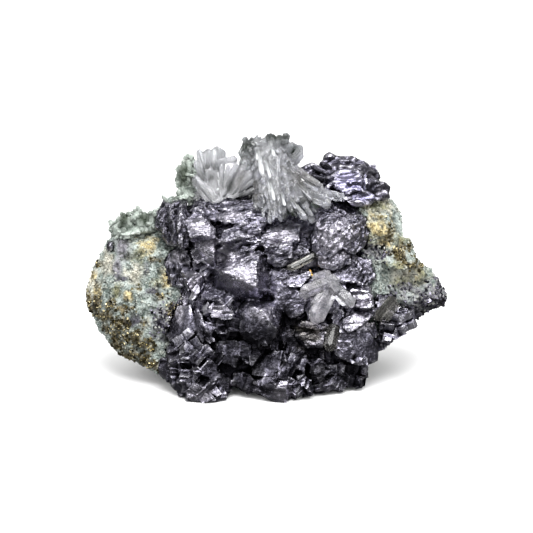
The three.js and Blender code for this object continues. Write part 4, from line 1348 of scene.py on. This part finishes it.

# %% [markdown]
# Chlorite colours the rock a pale grey-green. Iron stains it ochre in places. Pyrite, small brassy
# cubes, crowds along its left edge, its lower band and the ridge at the right. Fine dark galena is
# sprinkled where the rock meets the big crystals. A smooth slab at the left and the lower edge of the tip
# at the right are bare, and that edge is painted nearly black as painted shade. On the hidden side,
# broad patches of the same minerals carry on by chance.

# %% Patches of colour and of crystals
# For each mask, how ragged its edges are, the seed of their noise and its spots.
ROCK_SPOTS = {
    "pyrite": (1.1, 1, [
        (-53, 29, 3.5, 3), (-49, 25.5, 4.5, 2), (-44, 22, 5, 3), (-40, 19.5, 5, 2.5), (-43, 27.5, 3, 1.2),
        (-46.5, 29, 1.6, 1.6), (-37, 23.5, 1.6, 1.6), (-31.5, 31, 2, 1.6), (-33.5, 42.5, 2, 1),
        (-29, 27.5, 2, 2), (-36, 17.5, 3, 2.5), (-45, 17, 3, 2), (-42, 13.5, 6, 2.5), (-36, 11, 5, 2.5),
        (-38, 33.5, 1.6, 1.2), (-51, 41, 1.4, 1), (40, 44.5, 4, 3.4), (44, 40.5, 3, 2.2), (37, 50, 1.6, 2.5),
        (34, 55, 1.6, 1),
    ]),
    "ochre": (1.0, 2, [
        (-40.5, 51, 3.4, 1.8), (-36, 46.5, 2.6, 3), (-30.5, 36.5, 1.6, 3), (-42, 31.5, 1.6, 1.6),
        (33.5, 51.5, 4.6, 4), (-53.5, 38, 1.6, 2), (-51.5, 33.5, 1.6, 2), (45, 36.5, 2.4, 1.4),
        (36, 47.5, 2.6, 1.4), (29, 52, 2, 2),
    ]),
    "cream": (0.8, 3, [
        (-52.5, 36, 2.2, 4.2), (-43, 50.6, 5, 1.6), (-40, 38, 3.4, 3), (-48.6, 41, 2.6, 4), (-54, 32, 1.6, 3),
        (34.5, 59, 5, 2.6), (42, 37, 5, 3),
    ]),
    "olive": (1.0, 8, [
        (33, 58.5, 4, 1.8), (41, 48, 3, 2.5), (38.5, 41, 4, 1.4), (43, 35.5, 4, 2), (47, 38.5, 2.4, 2),
        (30.5, 49, 1.6, 2), (-39.5, 44, 2.4, 3), (-45, 33, 1.6, 2.4), (-33, 35, 1.4, 2),
    ]),
    "slab": (0.4, 6, [(-43.6, 46.5, 2.6, 5), (-45, 40, 1.4, 4)]),
    "dark": (1.0, 4, [
        (-43.5, 36.5, 2.2, 1.2), (-36.2, 39, 1.2, 2), (-35, 32.5, 3, 1.6), (-28, 21, 6, 5), (-40, 24, 2.4, 2),
    ]),
    "speckled": (1.0, 7, [
        (46, 30, 9, 5.5), (52, 31, 5, 6), (45, 26, 6, 3), (32, 44.5, 4, 3), (-24, 30, 3, 3), (-30, 24, 5, 5),
    ]),
}
TIP_EDGE_SHADE = [(53.5, 29.4, 1.8, 1.5), (51, 27.4, 2.4, 1.4), (48, 26, 2.4, 1.3)]

hidden = face_places(rock.data)[2] < DISPLAY_END
for label, (ragged, seed, spots) in ROCK_SPOTS.items():
    shown = spots_mask(rock.data, spots, ragged, seed)
    chance = np.clip(8 * soft_noise(rock.data, 70, seed + 20) - 2.6, 0, 1)
    paint_mask(rock.data, label, np.maximum(shown, chance * hidden))
# The lower edge of the tip is bare of crust and painted nearly black as painted shade.
edge = spots_mask(rock.data, TIP_EDGE_SHADE, 0.2, 9, back=-30)
paint_mask(rock.data, "edge", edge)
bare = np.maximum(spots_mask(rock.data, ROCK_SPOTS["slab"][2], 0.2, 6), edge)
paint_mask(rock.data, "crust", np.clip(0.7 + soft_noise(rock.data, 300, 5), 0, 1) * (1 - bare))

# %% [markdown]
# The rock's material lays one mottled paint over another, one for each mask, and paints shade into the pits
# last.
# Pyrite and the fine galena are plain metals, so they only need a tone that differs from cube to cube.

# %% Rock materials
ROCK_PAINTS = {  # for each mask, a light and a dark tone
    "cream": (tone(224, 220, 206), tone(132, 130, 114)),
    "ochre": (tone(222, 206, 156), tone(118, 102, 62)),
    "olive": (tone(168, 166, 132), tone(72, 76, 52)),
    "slab": (tone(152, 150, 156), tone(88, 86, 94)),
    "speckled": (tone(164, 162, 167), tone(64, 64, 72)),
    "pyrite": (tone(140, 128, 98), tone(44, 42, 32)),
    "dark": (tone(100, 98, 110), tone(34, 34, 40)),
    # edge: painted shade on the underside of the tip
    "edge": (tone(52, 50, 56), tone(18, 18, 20)),
}
DARK_SPECKS, PALE_GRAIN, PIT_SHADE = tone(58, 60, 54), tone(226, 228, 216), tone(48, 52, 46)


def rock_material():
    material = new_material("chlorite rock")
    tree = material.node_tree
    colour = mottled(tree, tone(186, 195, 190), tone(88, 101, 95), 260.0, 2000.0, 3.0)["Color"]
    for mask, paints in ROCK_PAINTS.items():
        paint = mottled(tree, *paints, 500.0, 2200.0, 2.8)["Color"]
        colour = mask_of(tree, mask).mixed(colour, paint)
    specks = object_place(tree).noise(900.0, 3.0)[0].remap(0.57, 0.62)
    colour = (specks * 0.8).mixed(colour, DARK_SPECKS)
    pale = add(tree, "ShaderNodeMix", {0: 0.5, 6: colour, 7: PALE_GRAIN}, data_type="RGBA")[2]
    colour = mask_of(tree, "tint").mixed(colour, pale)
    # Painted shade in the pits.
    colour = mask_of(tree, "height").mixed(PIT_SHADE, colour)
    return dress(
        material, Base_Color=colour, Roughness=0.7, Normal=roughened(tree, 1500.0, depth=0.0005, strength=0.9)
    )


def grain_metal(name, light, dark):
    """A metal whose tone differs from grain to grain."""
    material = new_material(name)
    tree = material.node_tree
    colour = mask_of(tree, "tint").mixed(dark, light)
    return dress(material, Base_Color=colour, Metallic=1.0, Roughness=0.24, Normal=roughened(tree, 3000.0))


ROCK = rock_material()
PYRITE_METAL = grain_metal("pyrite", tone(204, 192, 152), tone(64, 58, 42))
GALENA_GRAINS = grain_metal("galena grains", tone(168, 164, 180), tone(48, 47, 56))
print("materials:", ROCK.name, PYRITE_METAL.name, GALENA_GRAINS.name)

# %% [markdown]
# Now the grains themselves, thousands of them, from a third of a millimetre to just over one. They are
# scattered over the rough skin before it is finished, so that every grain touches it.

# %% Grains on the rock
ANY_WAY = 3.0  # a lean so strong that a grain points almost anywhere
# For each kind of grain: its paint, shape and mask, how many per square metre, the smallest and the
# largest size in millimetres, and the seed.
GRAINS = {
    "pyrite_cubes": (PYRITE_METAL, CUBE, "pyrite", 1.3e6, (0.3, 0.3, 0.3), (0.9, 0.9, 0.9), 21),
    "galena_grains": (GALENA_GRAINS, CUBE, "speckled", 9e5, (0.4, 0.4, 0.4), (1.0, 0.8, 0.7), 23),
    "chlorite_granules": (ROCK, GRAIN, "crust", 7e5, (0.4, 0.4, 0.4), (1.3, 1.3, 1.0), 22),
}

grains = {}
for name, (material, form, mask, density, smallest, largest, seed) in GRAINS.items():
    sizes = {"Smallest": [MM * size for size in smallest], "Largest": [MM * size for size in largest]}
    values = {"Material": material, "Shape": form, "Mask": mask, "Per_Square_Metre": density}
    grains[name] = scatter(rock, name, Lean=ANY_WAY, Seed=seed, **sizes, **values)
finish_piece(rock, ROCK, "matrix_rock", smooth=60)
for name, piece in grains.items():
    finish_piece(piece, GRAINS[name][0])

# %% [markdown]
# ## Studio
#
# The specimen stands on a pale floor under a broad soft lamp. Metal shows what is around it, so the
# surroundings stay bright for the camera but are darker in reflections, which keeps the galena dark
# between its flashes.

# %% Floor and surroundings
def seen_as(tree, camera, mirrored, through, lit):
    """A brightness for each kind of look: by the camera, in a mirror, through glass, and as light."""
    rays = add(tree, "ShaderNodeLightPath")
    level = lit
    for kind, value in (("Glossy", mirrored), ("Transmission", through), ("Camera", camera)):
        level = rays[f"Is {kind} Ray"].remap(0.0, 1.0, level, value)
    return level


FLOOR_REACH = 4.0  # metres from the middle of the floor to its edge
FLOOR_LEVEL = -0.0002  # a hair below the foot, so that the two surfaces don't share one plane

corners = [(x * FLOOR_REACH, y * FLOOR_REACH, 0) for x, y in ((-1, -1), (1, -1), (1, 1), (-1, 1))]
floor = placed("floor", mesh_of("floor", corners, [(0, 1, 2, 3)]))
floor.location.z = FLOOR_LEVEL
pale_floor = new_material("pale floor")
level = seen_as(pale_floor.node_tree, camera=0.86, mirrored=0.03, through=0.3, lit=0.12)
grey = add(pale_floor.node_tree, "ShaderNodeCombineColor", {0: level, 1: level, 2: level})[0]
floor.data.materials.append(dress(pale_floor, Base_Color=grey, Roughness=0.9))

world = bpy.data.worlds.new("studio")
bpy.context.scene.world = world
world.use_nodes = True
studio = world.node_tree
steepness = add(studio, "ShaderNodeTexCoord")["Generated"]
steepness = add(studio, "ShaderNodeSeparateXYZ", {0: steepness})[2]


def glow(low, high):
    """A brightness that grows from the horizon to the top of the studio."""
    return steepness.remap(-0.1, 0.95, low, high, interpolation_type="SMOOTHSTEP")


brightness = seen_as(studio, camera=1.0, mirrored=glow(0.0, 0.78), through=glow(0.25, 2.4), lit=1.5)
studio.nodes["Background"].inputs["Color"].default_value = (1.0, 1.0, 1.0, 1.0)
plug(studio, studio.nodes["Background"].inputs["Strength"], brightness)
print("studio:", len(studio.nodes), "nodes")

# %% [markdown]
# A broad lamp hangs above and in front, where it draws a soft flash on every flat that leans back. Two
# narrow strips left and right give the edges a line of light. The camera looks straight at the display
# face, from far away and through a long lens, so that nothing looks stretched.

# %% Lamps and camera
def turned_to(thing, place, aim):
    """Puts a lamp or a camera at a place and turns it to what it looks at."""
    thing.location = place
    thing.rotation_euler = (Vector(aim) - Vector(place)).to_track_quat("-Z", "Y").to_euler()


def lamp(name, place, width, height, power):
    light = bpy.data.lights.new(name, "AREA")
    light.shape = "RECTANGLE"
    light.size, light.size_y, light.energy = width, height, power
    turned_to(placed(name, light), place, on_face(0, 40, 0))


lamp("overhead", (0.05, -0.18, 0.55), 0.5, 0.35, 3.2)
lamp("left strip", (-0.45, -0.35, 0.35), 0.08, 0.4, 0.4)
lamp("right strip", (0.45, -0.30, 0.40), 0.08, 0.4, 0.4)

target, distance = on_face(-0.15, 40.35, 3.0), 0.889
camera = bpy.data.cameras.new("camera")
camera.lens, camera.sensor_width = 200.0, 36.0
viewer = placed("camera", camera)
turned_to(viewer, target + distance * Vector((0, -math.cos(LEAN), math.sin(LEAN))), target)
bpy.context.scene.camera = viewer
bpy.context.scene.view_settings.view_transform = "Standard"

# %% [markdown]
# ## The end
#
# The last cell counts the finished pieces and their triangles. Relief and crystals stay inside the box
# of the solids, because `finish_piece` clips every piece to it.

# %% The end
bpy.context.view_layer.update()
total = sum(len(piece.data.loop_triangles) for piece in pieces.values())
print("pieces:", len(pieces), "triangles:", total)
